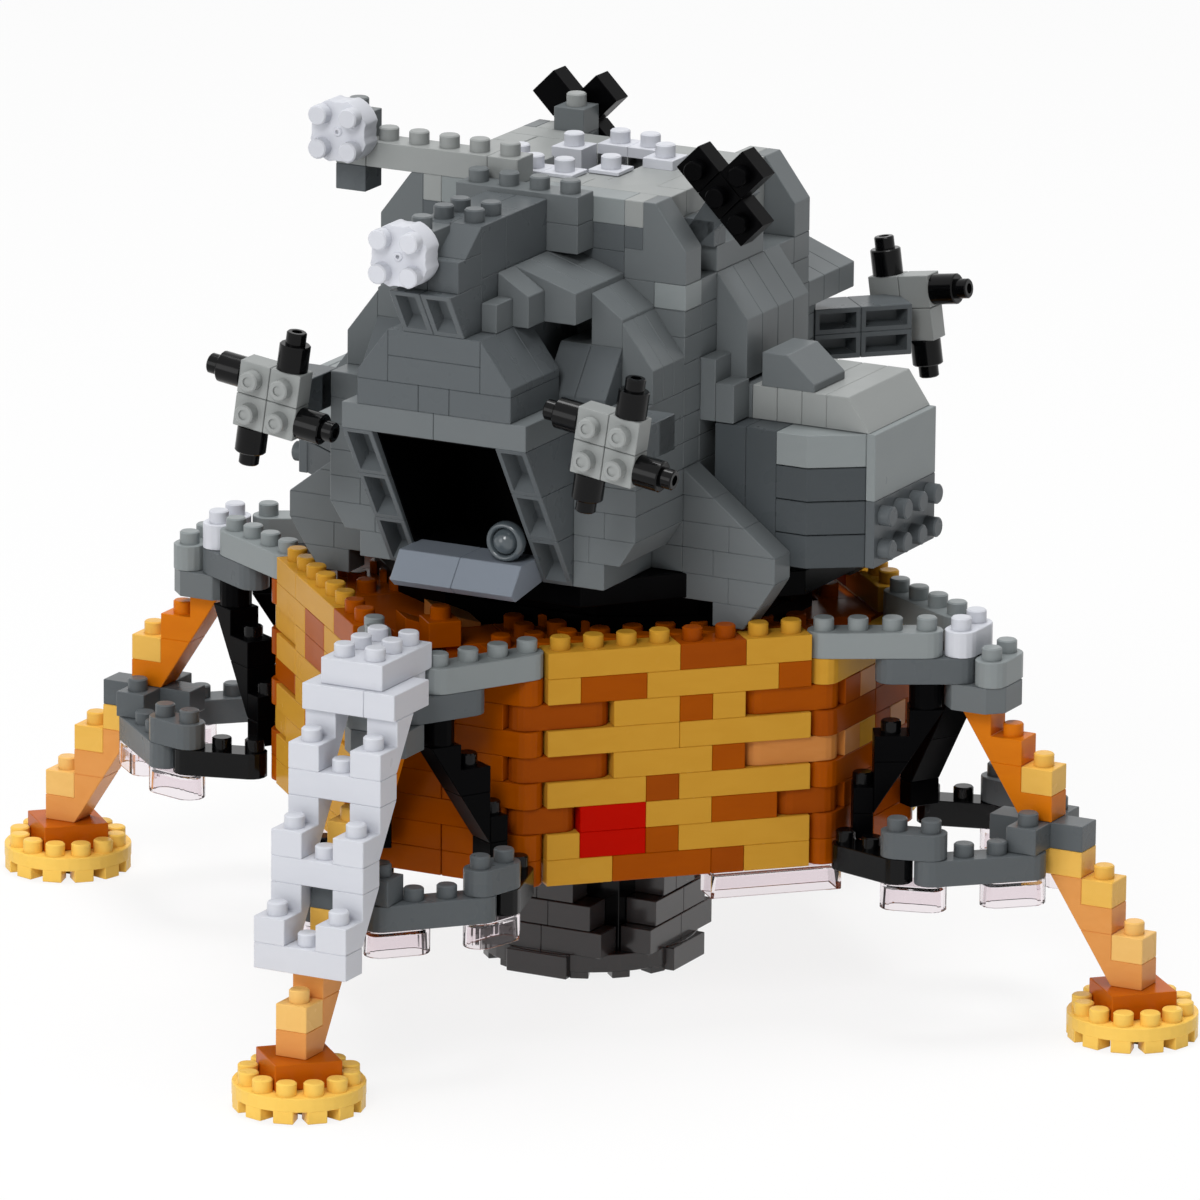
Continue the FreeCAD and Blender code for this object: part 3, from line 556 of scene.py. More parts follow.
# braces: two slopes a side that lean from the lower frame up to the outriggers
braceParts = (
    ((1.5, 8), (1.5, 10), (2.5, 10)),
    ((1.5, 10), (1.5, 11), (2.5, 11), (2.5, 12), (3.5, 12), (2.5, 10)),
)
for corner, around in corners.items():
    for side in (-1, 1):
        tilt = math.degrees(math.atan2(-side * outrigger["drift"], outrigger["run"]))
        place = moved(around, root, side * pivot, 0) @ turn(tilt)
        for level in (7, 8):
            box(place, (0.9, -0.5), (1.5, 0.5), level, level + 1, "satinBlack")
        for outline in braceParts:
            slab(place, outline, -0.5, 0.5, "satinBlack")
        roundBar(place, (3, 0), (3, 0.001), 12, 13, "satinBlack")
        stud(place, 2, 0, 11, "black")
        stud(place, 1.2, 0, 9, "black")
    finishPiece("brace_bricks_" + corner, "braces_" + corner)
print("legs and feet laid")

# lower frame: runs of bars from the walls out to each leg, standing on clear bricks
frameBars = (
    # heading, length, level, colour, then along it: its start, its studs, the start of a clear brick
    (-16.0, 3, 6, "black", 1.1, (1, 2), None),
    (15.0, 1, 7, "darkGrey", 0, (0, 1), 0),
    (43.0, 3, 6, "darkGrey", 0, (1, 2), 2),
)
clearBars = []
for corner, place in corners.items():
    for side in (-1, 1):
        here = Vector((root, side * pivot))
        for heading, length, level, colour, first, studs, clearFrom in frameBars:
            way = math.radians(-side * heading)
            step = Vector((math.cos(way), math.sin(way)))
            far = here + length * step
            roundBar(place, here + first * step, far, level, level + 1, colour)
            for n in studs:
                stud(place, *(here + n * step), level + 1, colour)
            if clearFrom is not None:
                clearBars.append((place, here + clearFrom * step, far))
            here = far
    finishPiece("strut_bricks_" + corner, "struts_" + corner)

for place, near, far in clearBars:
    roundBar(place, near, far, 5, 6, "clear", hollow=(0, -1, 0, *clearHollow))
for place in sides.values():
    low, high = (half - 3, -wall["face"]), (half + 1, -wall["face"] + 1)
    box(place, low, high, 5, 6, "clear", hollow=(0, 0, -1, *clearHollow))
finishPiece("clear_blocks", "clear_bricks")

# ladder on the front left leg
ladder = {"width": 3, "top": 14, "pitch": 3, "rungs": 3, "out": tie + 0.5}
place = corners["front_left"]
out, edge = ladder["out"], ladder["width"] / 2
box(place, (out - 1, -1), (out + 2, 1), 15, 16, "white")
studRows(place, (out - 0.5, out + 0.5, out + 1.5), (-0.5, 0.5), 16, "white")
for low, high in ((-edge, 0.5), (0.5, edge)):
    box(place, (out + 0.1, low), (out + 2.2, high), 14, 15, "white")
for n in range(ladder["rungs"]):
    out = ladder["out"] + 2.5 + n
    top = ladder["top"] - n * ladder["pitch"]
    for side in (-1, 1):
        slab(place, stepOutline(out, top), side - 0.5, side + 0.5, "white")
        stud(place, out, side, top - 1, "white")
    box(place, (out - 0.5, -edge), (out + 0.5, edge), top - 3, top - 2, "white")
    stud(place, out, 0, top - 2, "white")
finishPiece("ladder_bricks", "ladder")

# engine nozzle: stepped courses of bricks round a core, over a toothed round plate
cabin = turn(-45)
nozzleCourses = (
    # bottom, half width, reach, seams on a face
    (0.98, 2.0, 3.08, (0.0,)),
    (1.98, 1.6, 3.05, (0.2,)),
    (2.98, 1.0, 3.0, (-0.2,)),
    (3.98, 1.6, 2.6, (0.0,)),
    (4.98, 1.0, 2.5, ()),
)
nozzle = {"core": 2.05, "top": 5.98, "footHalf": 1, "footOut": 3.36, "footIn": 2.3, "footBottom": 0.08}
# the nozzle's black bricks carry a painted reflection: their colour is lightened to grey
for n in range(4):
    place = cabin @ turn(90 * n)
    for bottom, reach, out, seams in nozzleCourses:
        ends = (-reach, *seams, reach)
        for low, high in zip(ends, ends[1:]):
            box(place, (low, -out), (high, 1 - out), bottom, bottom + 1, "blackWithPaintedReflection")
    low, high = (-nozzle["footHalf"], -nozzle["footOut"]), (nozzle["footHalf"], -nozzle["footIn"])
    box(place, low, high, nozzle["footBottom"], nozzleCourses[0][0], "blackWithPaintedReflection")
core = nozzle["core"]
box(cabin, (-core, -core), (core, core), 1, nozzle["top"], "black")
finishPiece("nozzle_bricks", "nozzle")

mouth = {"radius": 3.25, "sides": 48, "bottom": 0.3, "teeth": 16, "tooth": (0.5, 0.56), "in": 0.05,
         "lift": 0.03, "overlap": 0.04}
# the toothed round plate is black with the same painted reflection
upright(centred, circleOf(mouth["radius"], mouth["sides"]), mouth["bottom"], 1, "blackWithPaintedReflection")
deep, wide = mouth["tooth"]
far, top = mouth["radius"] - mouth["in"], mouth["bottom"] + mouth["overlap"]
for n in range(mouth["teeth"]):
    tooth = turn(360 / mouth["teeth"] * n)
    box(tooth, (far - deep, -wide / 2), (far, wide / 2), mouth["lift"], top, "blackWithPaintedReflection")
finishPiece("nozzle_ring", "nozzle_mouth")
print("ladder, frame and nozzle laid")

# ---- ascent stage, in the cabin's own directions: across, along and up; the hatch looks back along
ahead = cabin @ turn(-90)
peg = turn(90, "X")


def runs(place, low, high, bottom, top, colour, lengths, faces="fblr", shift=0):
    # a hollow block laid in courses one stud thick, whose corners overlap in turns
    for course in range(top - bottom):
        level = bottom + course
        for face in faces:
            sideways = face in "lr"
            start, end = (low[1], high[1]) if sideways else (low[0], high[0])
            if ((course + shift) % 2 == 1) == sideways:
                start, end = start + 1, end - 1
            near = {"f": low[1], "b": high[1] - 1, "l": low[0], "r": high[0] - 1}[face]
            at = start
            count = course + shift
            while at < end:
                size = min(lengths[count % len(lengths)], end - at)
                if sideways:
                    box(place, (near, at), (near + 1, at + size), level, level + 1, colour)
                else:
                    box(place, (at, near), (at + size, near + 1), level, level + 1, colour)
                at += size
                count += 1


narrowBase = fourfold(((2.5, -4.5), (5, -3), (6.5, -1.5)))
wideBase = fourfold(((3, -6.5), (5, -4.05), (6.5, -3.5), (8, -2)))
for plan, bottom, top in ((narrowBase, 14.02, 15), (narrowBase, 15.02, 16), (wideBase, 16.02, 16.98)):
    upright(cabin, plan, bottom, top, "satinBlack")
for along in (-0.5, 0.5):
    stud(cabin, 6.5, along, 15.5, "black", turn(90, "Y"))
finishPiece("base_plates", "ascent_base")

# hatch front: hollow slopes on each side of a dark way in, with stepped walls beside them
hatch = {"sill": 17, "lintel": 23, "slopes": 3, "slopeHigh": 2, "lining": 0.07}
sill, lintel = hatch["sill"], hatch["lintel"]
for low in (-3, 0):
    box(cabin, (low, -10), (low + 3, -6), lintel, lintel + 1, "midGrey")
box(cabin, (-2, -7), (2, -4), sill, sill + 1, "satinBlack")
box(cabin, (-2, -4.3), (2, -4.02), sill + 1, lintel, "satinBlack")
box(cabin, (-2, -9.7), (2, -4.3), lintel - 0.15, lintel, "satinBlack", 0.00005)
for side in (1, -1):
    slopeWay = Vector((unit["layer"] * hatch["slopeHigh"], 0, -unit["pitch"])).normalized()
    across = 2 if side > 0 else -3
    for n in range(hatch["slopes"]):
        low, out = sill + hatch["slopeHigh"] * n, 7 + n
        high = low + hatch["slopeHigh"]
        slab(ahead, ((4, low), (out, low), (out + 1, high), (4, high)), across, across + 1, "darkGrey",
             hollow=(slopeWay.x, 0, slopeWay.z, *brickHollow))
    start, end = (2 - hatch["lining"], 2) if side > 0 else (-2, hatch["lining"] - 2)
    lining = ((4.2, sill + 1), (7.4, sill + 1), (9.7, lintel - 0.1), (4.2, lintel - 0.1))
    slab(ahead, lining, start, end, "satinBlack", 0.00002)
    for level in range(sill, lintel + 1):
        far = min(4 + (level - sill) / 2, 5.0)
        seam = 4 if level % 2 else 3.5
        for low, high, rise in ((3, seam, seam), (seam, far, min(far + 0.5, 5.0))):
            if high > low:
                outline = ((low, level), (high, level), (rise, level + 1), (low, level + 1))
                slab(cabin, onSide(side, outline), -7, -4, "midGrey")
finishPiece("hatch_bricks", "hatch_front")

porchOutline = ((7, 17), (8.6, 16.7), (8.9, 17), (8.3, 18), (7, 18))
slices(ahead, porchOutline, -2, 2, 2, "blueGrey")
finishPiece("porch_slopes", "porch")

ballSize = {"width": 0.0031, "ring": 0.0048, "tube": 0.00042, "ringDepth": 2.2}
centre = cabin @ (spot(1.35, -8, 18) + Vector((0, 0, ballSize["ring"] / 2)))
deselectAll()
tube = ballSize["tube"]
bpy.ops.mesh.primitive_torus_add(major_radius=ballSize["ring"] / 2 - tube, minor_radius=tube,
                                 major_segments=32, minor_segments=8)
ring = bpy.context.object
deepen = Matrix.Scale(ballSize["ringDepth"], 4, (0, 0, 1))
ring.data.transform(Matrix.Translation(centre) @ cabin @ peg @ deepen)
deselectAll()
bpy.ops.mesh.primitive_uv_sphere_add(segments=28, ring_count=16, radius=ballSize["width"] / 2)
ball = bpy.context.object
ball.data.transform(Matrix.Translation(centre))
for thing in (ring, ball):
    deselectAll()
    thing.select_set(True)
    bpy.context.view_layer.objects.active = thing
    bpy.ops.object.shade_smooth()
    thing.data.materials.append(paint["glossGrey"])
    pile.append(thing)
finishPiece("hatch_ball_ring", "hatch_ball")

# nose over the hatch: a stepped front between slopes, and slopes back to the cabin
noseFront = (
    # from, to, level
    (-2.5, -0.5, 24), (-0.5, 0.5, 24), (0.5, 2.5, 24), (-1.5, 1.5, 25), (-1.5, 1.5, 26),
)
noseSlopes = (
    # outline, from, to, slices
    (((4, 24), (5, 24), (5, 25.3), (4, 27)), -6, -4, 3),
    (((3, 26), (4, 26), (4, 27.1), (3, 28)), -6, -4, 2),
    (((1, 27), (3, 27), (3, 28.2), (1, 29)), -7, -4, 3),
    (((1, 27), (2, 27), (2, 28.2), (1, 29)), -8, -7, 1),
)
for low, high, level in noseFront:
    box(cabin, (low, -10), (high, -7), level, level + 1, "darkGrey")
box(cabin, (-1.5, -7), (1.5, -4), 24, 27, "darkGrey")
for side in (1, -1):
    cheek = ((1.5, 25), (2.5, 25), (2.5, 25.3), (1.5, 27))
    slices(cabin, onSide(side, cheek), -10, -7, 3, "darkGrey")
    for outline, start, end, count in noseSlopes:
        slices(cabin, onSide(side, outline), start, end, count, "midGrey")
    low, high = sorted((2 * side, 4 * side))
    for level in (24, 25):
        box(cabin, (low, -6), (high, -4), level, level + 1, "midGrey")
    slices(ahead, ((6, 24), (7, 24), (7, 24.3), (6, 26)), low, high, 2, "darkGrey")
    low, high = sorted((1 * side, 1.5 * side))
    box(cabin, (low, -9), (high, -8), 27, 28.1, "midGrey")
finishPiece("nose_bricks", "cabin_nose")

# tower over the nose, with the peg that the lower dish turns on
towerParts = (
    # outline, hollow
    (((9, 27), (10, 27), (10.9, 28.8), (9, 28.8)), (0.84, 0, -0.54, 0.0006, 0.0016, 0.75)),
    (((7.5, 27), (9, 27), (9, 29), (7.5, 29)), None),
    (((7.5, 29), (9, 29), (9, 31), (7.5, 31)), None),
    (((5, 27), (7.5, 27), (7.5, 29), (5, 29)), None),
    (((5, 29), (7.5, 29), (7.5, 31), (5, 31)), None),
    (((9, 28.8), (10.4, 28.8), (10.4, 30), (9, 30)), None),
    (((9, 30), (10, 30), (9, 31)), None),
)
dishLower = (-0.47, -10.5, 30.25)
for across in (-1, 0):
    for outline, hollow in towerParts:
        slab(ahead, outline, across, across + 1, "darkGrey", hollow=hollow)
box(cabin, (-1, -5), (1, -4), 27, 29, "darkGrey")
box(cabin, (-0.9, -10.5), (0.1, -9.2), 30, 31, "midGrey")
stud(cabin, -0.4, -10, 31, "midGrey")
studRows(cabin, (-0.5, 0.5), (-8.5, -7.5), 31, "darkGrey")
stud(cabin, *dishLower, "midGrey", peg)
finishPiece("tower_bricks", "tower")

# cabin: hollow blocks of bricks, with slopes, a mid-grey roof and a light grey top on it
cabinBlocks = (
    # low corner, high corner, bottom, top, colour, brick lengths, faces, shift of the bond
    ((-5, -4), (5, 4), 17, 28, "midGrey", (2, 3, 2, 4, 1), "fblr", 0),
    ((-4, -3), (4, 3), 28, 31, "lightGrey", (3, 2, 4), "fblr", 1),
    ((-4, 3), (4, 6.5), 17, 25, "midGrey", (3, 2, 2, 4), "blr", 0),
    ((-3, 3), (3, 7), 25, 27, "midGrey", (2, 3), "blr", 0),
)
cabinPlates = (
    # low corner, high corner, bottom, top, colour
    ((-4, -3), (4, 3), 27, 27.98, "midGrey"), ((-3.99, 3), (3.99, 6.45), 24.05, 24.95, "midGrey"),
    ((-2, 4), (0, 6), 26.05, 27, "midGrey"), ((0, 4), (2, 6), 26.05, 27, "midGrey"),
    ((-3, -2), (-1.4, 2), 30, 30.98, "lightGrey"), ((1.4, -2), (3, 2), 30, 30.98, "lightGrey"),
    ((-1.4, -2), (1.4, -1.4), 30, 30.98, "lightGrey"), ((-1.4, 1), (1.4, 2), 30, 30.98, "lightGrey"),
    ((-1.5, -1.5), (1.5, 1.1), 29.5, 29.98, "midGrey"),
)
shoulder = (
    # outline, colour: an L-shaped slope, and the two bricks under its arm
    (((3, 28), (5, 28), (5, 29.3), (4, 31), (3.6, 31), (3.6, 29.15), (3, 29.15)), "midGrey"),
    (((3, 29.15), (3.6, 29.15), (3.6, 30), (3, 30)), "darkGrey"),
    (((3, 30), (3.6, 30), (3.6, 31), (3, 31)), "lightGrey"),
)
sideSlopes = (
    # outline, from, to, slices
    (((5, 24), (6, 24), (6, 26.3), (5, 28)), -2, 2, 4),
    (((3, 25), (5, 25), (5, 26), (3, 27)), 4, 7, 3),
)
sideBricks = (
    # near, far, from, to, bottom, top, colour
    (4, 5, -2, 1, 28, 29, "midGrey"), (5, 5.5, -3, -2, 22.6, 25, "midGrey"),
    (5.5, 6.1, -3, -2, 22.6, 24.1, "midGrey"), (4, 5.03, -4.03, -3, 27.04, 28, "armGrey"),
)
for low, high, bottom, top, colour, lengths, faces, shift in cabinBlocks:
    runs(cabin, low, high, bottom, top, colour, lengths, faces, shift)
for low, high, bottom, top, colour in cabinPlates:
    box(cabin, low, high, bottom, top, colour)
for side in (1, -1):
    for start in (-4, 3):
        for outline, colour in shoulder:
            slab(cabin, onSide(side, outline), start, start + 1, colour)
    for outline, start, end, count in sideSlopes:
        slices(cabin, onSide(side, outline), start, end, count, "midGrey")
    for near, far, start, end, bottom, top, colour in sideBricks:
        low, high = sorted((near * side, far * side))
        box(cabin, (low, start), (high, end), bottom, top, colour)
slices(cabin, ((-6, 21.9), (-5, 21.9), (-5, 25), (-6, 23.3)), -5, -1, 4, "midGrey")
finishPiece("cabin_bricks", "cabin_core")

roofRows = (
    # level, colour, seam
    (28, "darkGrey", -1), (29, "darkGrey", 1), (30, "armGrey", 0),
)
for level, colour, seam in roofRows:
    box(cabin, (-3, -4), (seam, -3), level, level + 1, colour)
    box(cabin, (seam, -4), (3, -3), level, level + 1, colour)
for bottom in (29, 30.1):
    box(cabin, (-2, -5), (2, -4), bottom, bottom + 1.1, "midGrey")
studRows(cabin, (-1.5, -0.5, 0.5, 1.5), (-4.5,), 31.2, "midGrey")
finishPiece("roof_front_bricks", "roof_front")

collarStuds = (
    # across, along, bottom, top
    (-2, -1, 31, 31.15), (-1, -2, 31, 31.15), (0, -2, 31, 31.15), (1, -1, 31, 31.15),
    (-1, 0.5, 30.1, 31.35), (0, 1.5, 30.1, 31.35), (1, 1.5, 30.1, 31.35), (2, 0.5, 30.1, 31.35),
)
for across, along, bottom, top in collarStuds:
    box(cabin, (across - 0.5, along - 0.5), (across + 0.5, along + 0.5), bottom, top, "white", 0.00006)
    stud(cabin, across, along, top, "white")
finishPiece("collar_bricks", "docking_collar")

# tanks: rows of bricks with cut corners, one pitch high each, and a plate of studs on the outside
tanks = {
    "right": {"spin": 0, "out": 9.9, "bottom": 17.4, "rows": 4, "rowsFrom": 7.5},
    "left": {"spin": 180, "out": 8.5, "bottom": 18.0, "rows": 3, "rowsFrom": 6.6},
}
deep, flatHalf, cutInward = 3, 2, 1.4  # half of the depth, of its flat end, and the cut between
plateThick = 0.3
for tag, tank in tanks.items():
    place = cabin @ turn(tank["spin"])
    out, low, start = tank["out"], tank["bottom"], tank["rowsFrom"]
    inward = out - cutInward
    plan = ((start, -deep), (inward, -deep), (out, -flatHalf), (out, flatHalf), (inward, deep), (start, deep))
    for row in range(tank["rows"]):
        bottom = low + row * pitchInLayers
        # lower rows: dark grey painted darker for shade; the top row keeps its own lighter grey
        colour = "armGrey" if row == tank["rows"] - 1 else "darkGreyPaintedShade"
        upright(place, plan, bottom + 0.02, bottom + pitchInLayers - 0.02, colour)
    top = low + tank["rows"] * pitchInLayers
    # back columns: dark grey with painted shade
    for near in (start - 2, start - 1):
        box(place, (max(near, 5), -deep), (near + 1, deep), low, top, "darkGreyPaintedShade")
    if tag == "right":
        ledge = top + 1.3
        for near, far in ((6.2, 7), (7, 7.8), (7.8, 8.6)):
            box(place, (near, -2), (far, 2), top, ledge, "lightGrey")
        slab(place, ((8.6, top), (10, top), (9.3, ledge), (8.6, ledge)), -2, 2, "lightGrey")
        hump = ((6.5, ledge), (8.2, ledge), (8.2, ledge + 0.3), (7.3, ledge + 1.3), (6.5, ledge + 1.3))
        slab(place, hump, -2, 0, "midGrey")
        box(place, (5, -2), (6.2, 2), top, ledge, "midGrey")
        # block under the tank: dark grey with painted shade
        box(place, (5, -deep), (7.5, deep), 17, low, "darkGreyPaintedShade")
    else:
        slab(place, ((5, 17), (7.6, 17), (out - 0.3, low), (5, low)), -2.5, 2.5, "darkGrey")
    finishPiece("tank_bricks_" + tag, "tank_" + tag)
    split = low + 2 * pitchInLayers
    box(place, (out, -flatHalf), (out + plateThick, flatHalf), low, split, "darkGrey")
    box(place, (out, -flatHalf), (out + plateThick, flatHalf), split, top, "armGrey")
    for row in (0.5, 1.5):
        for along in (-1.5, -0.5, 0.5, 1.5):
            stud(place, out + plateThick, along, low + row * pitchInLayers, "darkGrey", turn(90, "Y"))
    finishPiece("tank_side_" + tag, "tank_plate_" + tag)

# skirts at the corners of the tanks: courses whose outer ends bulge and come back in
skirtEdge = ((7, 15.1), (7.5, 16), (8, 17), (8, 18), (7, 19), (6, 20), (5, 21))  # reach at each level
for spin in (0, 180):
    place = cabin @ turn(spin)
    for along in (-4, 3):
        for n, ((lowOut, bottom), (highOut, top)) in enumerate(zip(skirtEdge, skirtEdge[1:])):
            seam = 5 if n > 3 else 6 + n % 2 / 2
            if 0 < n <= 3:
                inside = ((5, bottom), (seam, bottom), (seam, top), (5, top))
                slab(place, inside, along, along + 1, "midGrey")
            outline = ((seam, bottom), (lowOut, bottom), (highOut, top), (seam, top))
            slab(place, outline[:4 if highOut > seam else 3], along, along + 1, "midGrey")
finishPiece("skirt_bricks", "skirts")

# boom of the upper dish, and the peg that it turns on
dishUpper = (-6, -4, 32.46)
boomBricks = (
    # from, to, bottom, colour
    (-6.5, -5.5, 31, "lightGrey"), (-5.5, -1.5, 31, "lightGrey"), (-1.5, -0.5, 31, "lightGrey"),
    (-6.5, -5.5, 30, "darkGrey"), (-6.5, -5.5, 32, "midGrey"),
)
for low, high, bottom, colour in boomBricks:
    box(cabin, (low, -4), (high, -3), bottom, bottom + 1, colour)
stud(cabin, -6, -3.5, 33, "midGrey")
studRows(cabin, range(-5, 0), (-3.5,), 32, "lightGrey")
stud(cabin, *dishUpper, "lightGrey", peg)
finishPiece("boom_bricks", "dish_boom")

# aerial posts, with their pegs
aerialFront = (5.55, -2.2, 31.25)
aerialRear = (-2.85, 4.0, 31.15)
bracketBack = aerialFront[1] + 0.75
bracketOutline = ((4.0, 29.4), (4.5, 29.0), (6.1, 31.1), (5.4, 31.8), (5.0, 31.3))
box(cabin, (4, aerialFront[1]), (5, bracketBack), 29, 30, "darkGrey")
slab(cabin, bracketOutline, aerialFront[1], bracketBack, "darkGrey")
stud(cabin, *aerialFront, "darkGrey", peg)
finishPiece("aerial_bracket_bricks", "aerial_bracket")
postSeams = (28, 29, 30, 30.9, 31.9)
for low, high in zip(postSeams, postSeams[1:]):
    box(cabin, (-3, 3), (-2, 4), low, high, "midGrey")
stud(cabin, -2.5, 3.5, postSeams[-1], "lightGrey")
stud(cabin, *aerialRear, "lightGrey", turn(-90, "X"))
finishPiece("aerial_post_bricks", "aerial_post")
print("cabin laid")

# thruster blocks: four square bricks, each with a dimpled stud in front and a tube that looks outward
quad = {"across": 5.5, "along": 9.55, "level": 23.6, "roll": 8.0, "gap": 0.01,
        "body": (0.00185, 0.0031), "tip": (0.0012, 0.0015)}  # a tube's radius and length
quarters = (
    # across, up, way of the tube
    (0.5, 0.5, 0), (-0.5, 0.5, -90), (-0.5, -0.5, 180), (0.5, -0.5, 90),
)
wide = 0.5 - quad["gap"]
tall = pitchInLayers * wide
thin = 0.5 / pitchInLayers
quadFace = ((-wide, -tall), (wide, -tall), (wide, tall), (-wide, tall))
for across in (-1, 1):
    for along in (-1, 1):
        tag = ("front_" if along < 0 else "back_") + ("left" if across < 0 else "right")
        place = moved(cabin, quad["across"] * across, quad["along"] * along, quad["level"])
        place = place @ turn(0 if along < 0 else 180) @ turn(quad["roll"], "Y")
        for cellAcross, cellUp, spin in quarters:
            cell = moved(place, cellAcross, 0, cellUp * pitchInLayers)
            copyOf(outlineKind(quadFace, -thin, thin), moved(cell, 0, -thin, 0), "lightGrey")
            stud(cell, 0, -thin, 0, "lightGrey", peg, True)
            tube = moved(cell @ turn(spin, "Y"), 0, 0, pitchInLayers / 2)
            copyOf(tubeKind(*quad["body"]), tube, "black")
            copyOf(tubeKind(*quad["tip"]), tube @ Matrix.Translation((0, 0, quad["body"][1])), "black")
        if along < 0:
            low, high = sorted((5.0 * across, 6.0 * across))
            box(cabin, (low, -9.16), (high, -6.5), 22.6, 24, "darkGrey")
            box(cabin, (low, -7.5), (high, -6.5), 22.61, 23.99, "midGrey")
        else:
            arm = cabin @ turn(45 if across > 0 else 135)
            near, far = sorted((1.63 * across, 3.0 * across))
            for low, high in ((7.35, 8.8), (8.8, 10.4)):
                for level in (22.1, 23.1):
                    box(arm, (low, near), (high, far), level, level + 1, "darkGrey",
                        hollow=(0, -across, 0, *brickHollow))
        finishPiece("thruster_bricks_" + tag, "thrusters_" + tag)
print("thrusters laid")

# dishes and aerials, which turn
turnGap = 0.02  # pitches between each and the brick behind it
dishSize = {"radius": 0.0039, "depth": 0.0031, "sides": 40, "edge": 0.0002, "notch": 0.00035, "notchHalf": 10,
            "hole": (0.0006, 0.0002)}
for name, (across, along, level) in (("dish_upper", dishUpper), ("dish_lower", dishLower)):
    place = moved(cabin, across, along - turnGap, level) @ peg
    disc = standingCylinder(dishSize["radius"], dishSize["depth"], dishSize["sides"])
    for vertex in disc.data.vertices:
        bearing = math.degrees(math.atan2(vertex.co.y, vertex.co.x)) % 90
        if min(bearing, 90 - bearing) < dishSize["notchHalf"]:  # a notch in the rim at each quarter
            vertex.co.xy *= 1 - dishSize["notch"] / dishSize["radius"]
    bevelWhere(disc, lambda face: abs(face.normal.z) > 0.9, dishSize["edge"], 2)
    bpy.ops.object.shade_smooth_by_angle(angle=smoothUnder)
    disc.data.transform(place)
    disc.data.materials.append(paint["white"])
    pile.append(disc)
    front = place @ Matrix.Translation((0, 0, dishSize["depth"]))
    copyOf(tubeKind(*dishSize["hole"]), front, "white")
    studRows(front, (-0.5, 0.5), (-0.5, 0.5), 0, "white")
    finishPiece(name + "_disc", name, name)

crossThick = 1 / pitchInLayers
crossBricks = (
    # from, to, bottom, top, the last two in half pitches
    (-1.5, -0.5, -1, 1), (-0.5, 0.5, -1, 1), (0.5, 1.5, -1, 1), (-0.5, 0.5, 1, 3),
)
for name, (across, along, level), way in (("aerial_front", aerialFront, -1), ("aerial_rear", aerialRear, 1)):
    place = moved(cabin, across, along + way * turnGap, level) @ turn(45, "Y")
    near, far = sorted((0, way * crossThick))
    for low, high, bottom, top in crossBricks:
        bottom, top = bottom * pitchInLayers / 2, top * pitchInLayers / 2
        box(place, (low, near), (high, far), bottom, top, "satinBlack")
    for out, up in ((-1, 0), (0, 0), (1, 0), (0, 1)):
        stud(place, out, way * crossThick, up * pitchInLayers, "satinBlack", turn(-90 * way, "X"))
    finishPiece(name + "_cross", name, name)

for mesh in kinds.values():
    bpy.data.meshes.remove(mesh)
print("dishes and aerials laid")


# ---- floor, light and camera
def seenRays(tree):
    # 1 for what the camera sees straight, mirrored or through clear bricks
    path = addNode(tree, "LightPath")
    both = addNode(tree, "Math", {"operation": "ADD"},
                   [(path, "Is Camera Ray", 0), (path, "Is Glossy Ray", 1)])
    return addNode(tree, "Math", {"operation": "ADD", "use_clamp": True},
                   [(both, "Value", 0), (path, "Is Transmission Ray", 1)])


# a matt white paper sweep, lit a little more where it is seen, so that it runs into the backdrop
paper = {"size": 8, "lift": 0.85}
paperLook = {"Base Color": linear("#FBFBFB"), "Roughness": 0.9, "Specular IOR Level": 0.1}
backdropLevel = {"To Min": 0.2, "To Max": 1.0}  # as a light, as seen
deselectAll()
bpy.ops.mesh.primitive_plane_add(size=paper["size"])
floor = bpy.context.object
floor.name = "studio_floor"
material, tree, shader = newMaterial("whitePaper", paperLook)
lift = addNode(tree, "Math", {"operation": "MULTIPLY"}, [(seenRays(tree), "Value", "Value")])
lift.inputs[1].default_value = paper["lift"]
glow = addNode(tree, "Emission", {"Strength": 1.0})
blend = addNode(tree, "MixShader", {}, [(lift, "Value", "Fac")])
tree.links.new(shader.outputs["BSDF"], blend.inputs[1])
tree.links.new(glow.outputs["Emission"], blend.inputs[2])
tree.links.new(blend.outputs["Shader"], tree.nodes["Material Output"].inputs["Surface"])
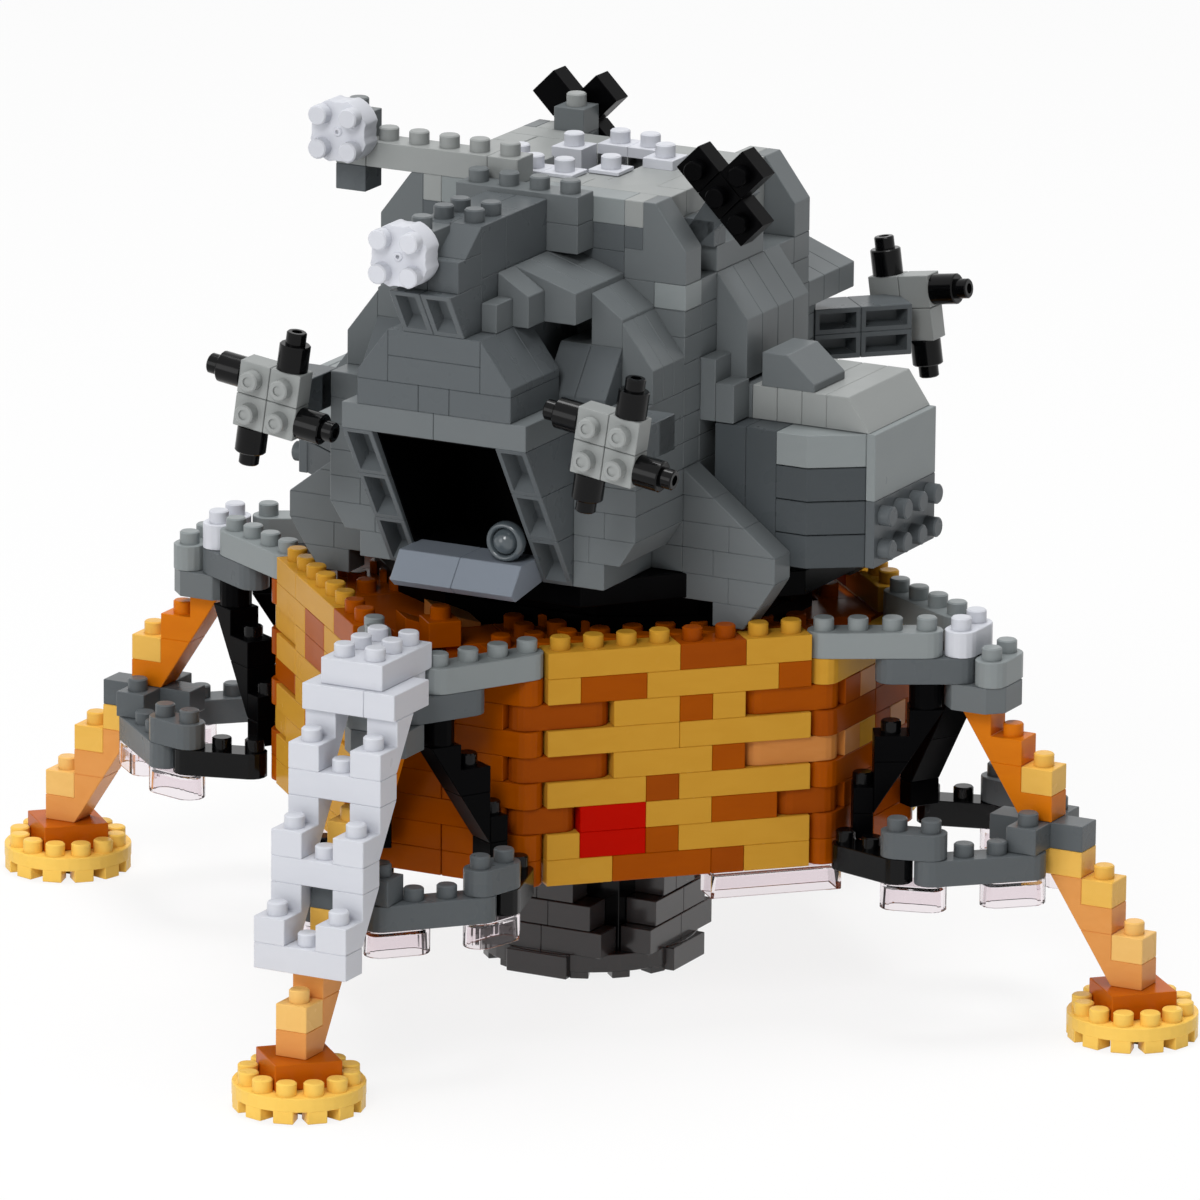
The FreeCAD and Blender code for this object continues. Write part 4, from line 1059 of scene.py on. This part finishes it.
floor.data.materials.append(material)

world = bpy.data.worlds.new("softStudio")
bpy.context.scene.world = world
world.use_nodes = True
tree = world.node_tree
backdrop = tree.nodes["Background"]
strength = addNode(tree, "MapRange", backdropLevel, [(seenRays(tree), "Value", "Value")])
tree.links.new(strength.outputs["Result"], backdrop.inputs["Strength"])
backdrop.inputs["Color"].default_value = (1, 1, 1, 1)

lamps = (
    # name, place, height of the aim, size, power
    ("keyLamp", (-0.6, -0.8, 0.85), 0.06, 0.5, 6.2),
    ("sideLamp", (-1.2, -0.45, 0.3), 0.05, 0.8, 3.5),
    ("fillLamp", (0.9, -0.6, 0.5), 0.06, 0.7, 0.25),
    ("topLamp", (0.1, 0.2, 1.2), 0.05, 0.6, 9.0),
)
for name, place, aim, size, power in lamps:
    lamp = bpy.data.lights.new(name, "AREA")
    lamp.shape = "DISK"
    lamp.size = size
    lamp.energy = power
    holder = bpy.data.objects.new(name, lamp)
    holder.location = place
    holder.rotation_euler = (Vector((0, 0, aim)) - Vector(place)).to_track_quat("-Z", "Y").to_euler()
    addToScene(holder)

# degrees, then pitches from a point some layers up, then millimetres of lens and sensor
cameraSet = {"heading": -17.61, "tilt": 15.10, "roll": 0.58, "aside": 0.29, "above": 5.87, "distance": 371.5,
             "aimLevel": 6, "lens": 376.3, "sensor": 36, "clip": (0.05, 20)}
lens = bpy.data.cameras.new("studioCamera")
lens.lens = cameraSet["lens"]
lens.sensor_width = cameraSet["sensor"]
lens.clip_start, lens.clip_end = cameraSet["clip"]
camera = bpy.data.objects.new("studioCamera", lens)
look = turn(cameraSet["heading"]) @ turn(90 - cameraSet["tilt"], "X") @ turn(cameraSet["roll"])
offset = look @ Vector((cameraSet["aside"], cameraSet["above"], cameraSet["distance"]))
camera.location = offset * unit["pitch"] + spot(0, 0, cameraSet["aimLevel"])
camera.rotation_euler = look.to_euler()
addToScene(camera)
bpy.context.scene.camera = camera
bpy.context.scene.view_settings.view_transform = "Standard"

bpy.context.view_layer.update()
print("scene ready")
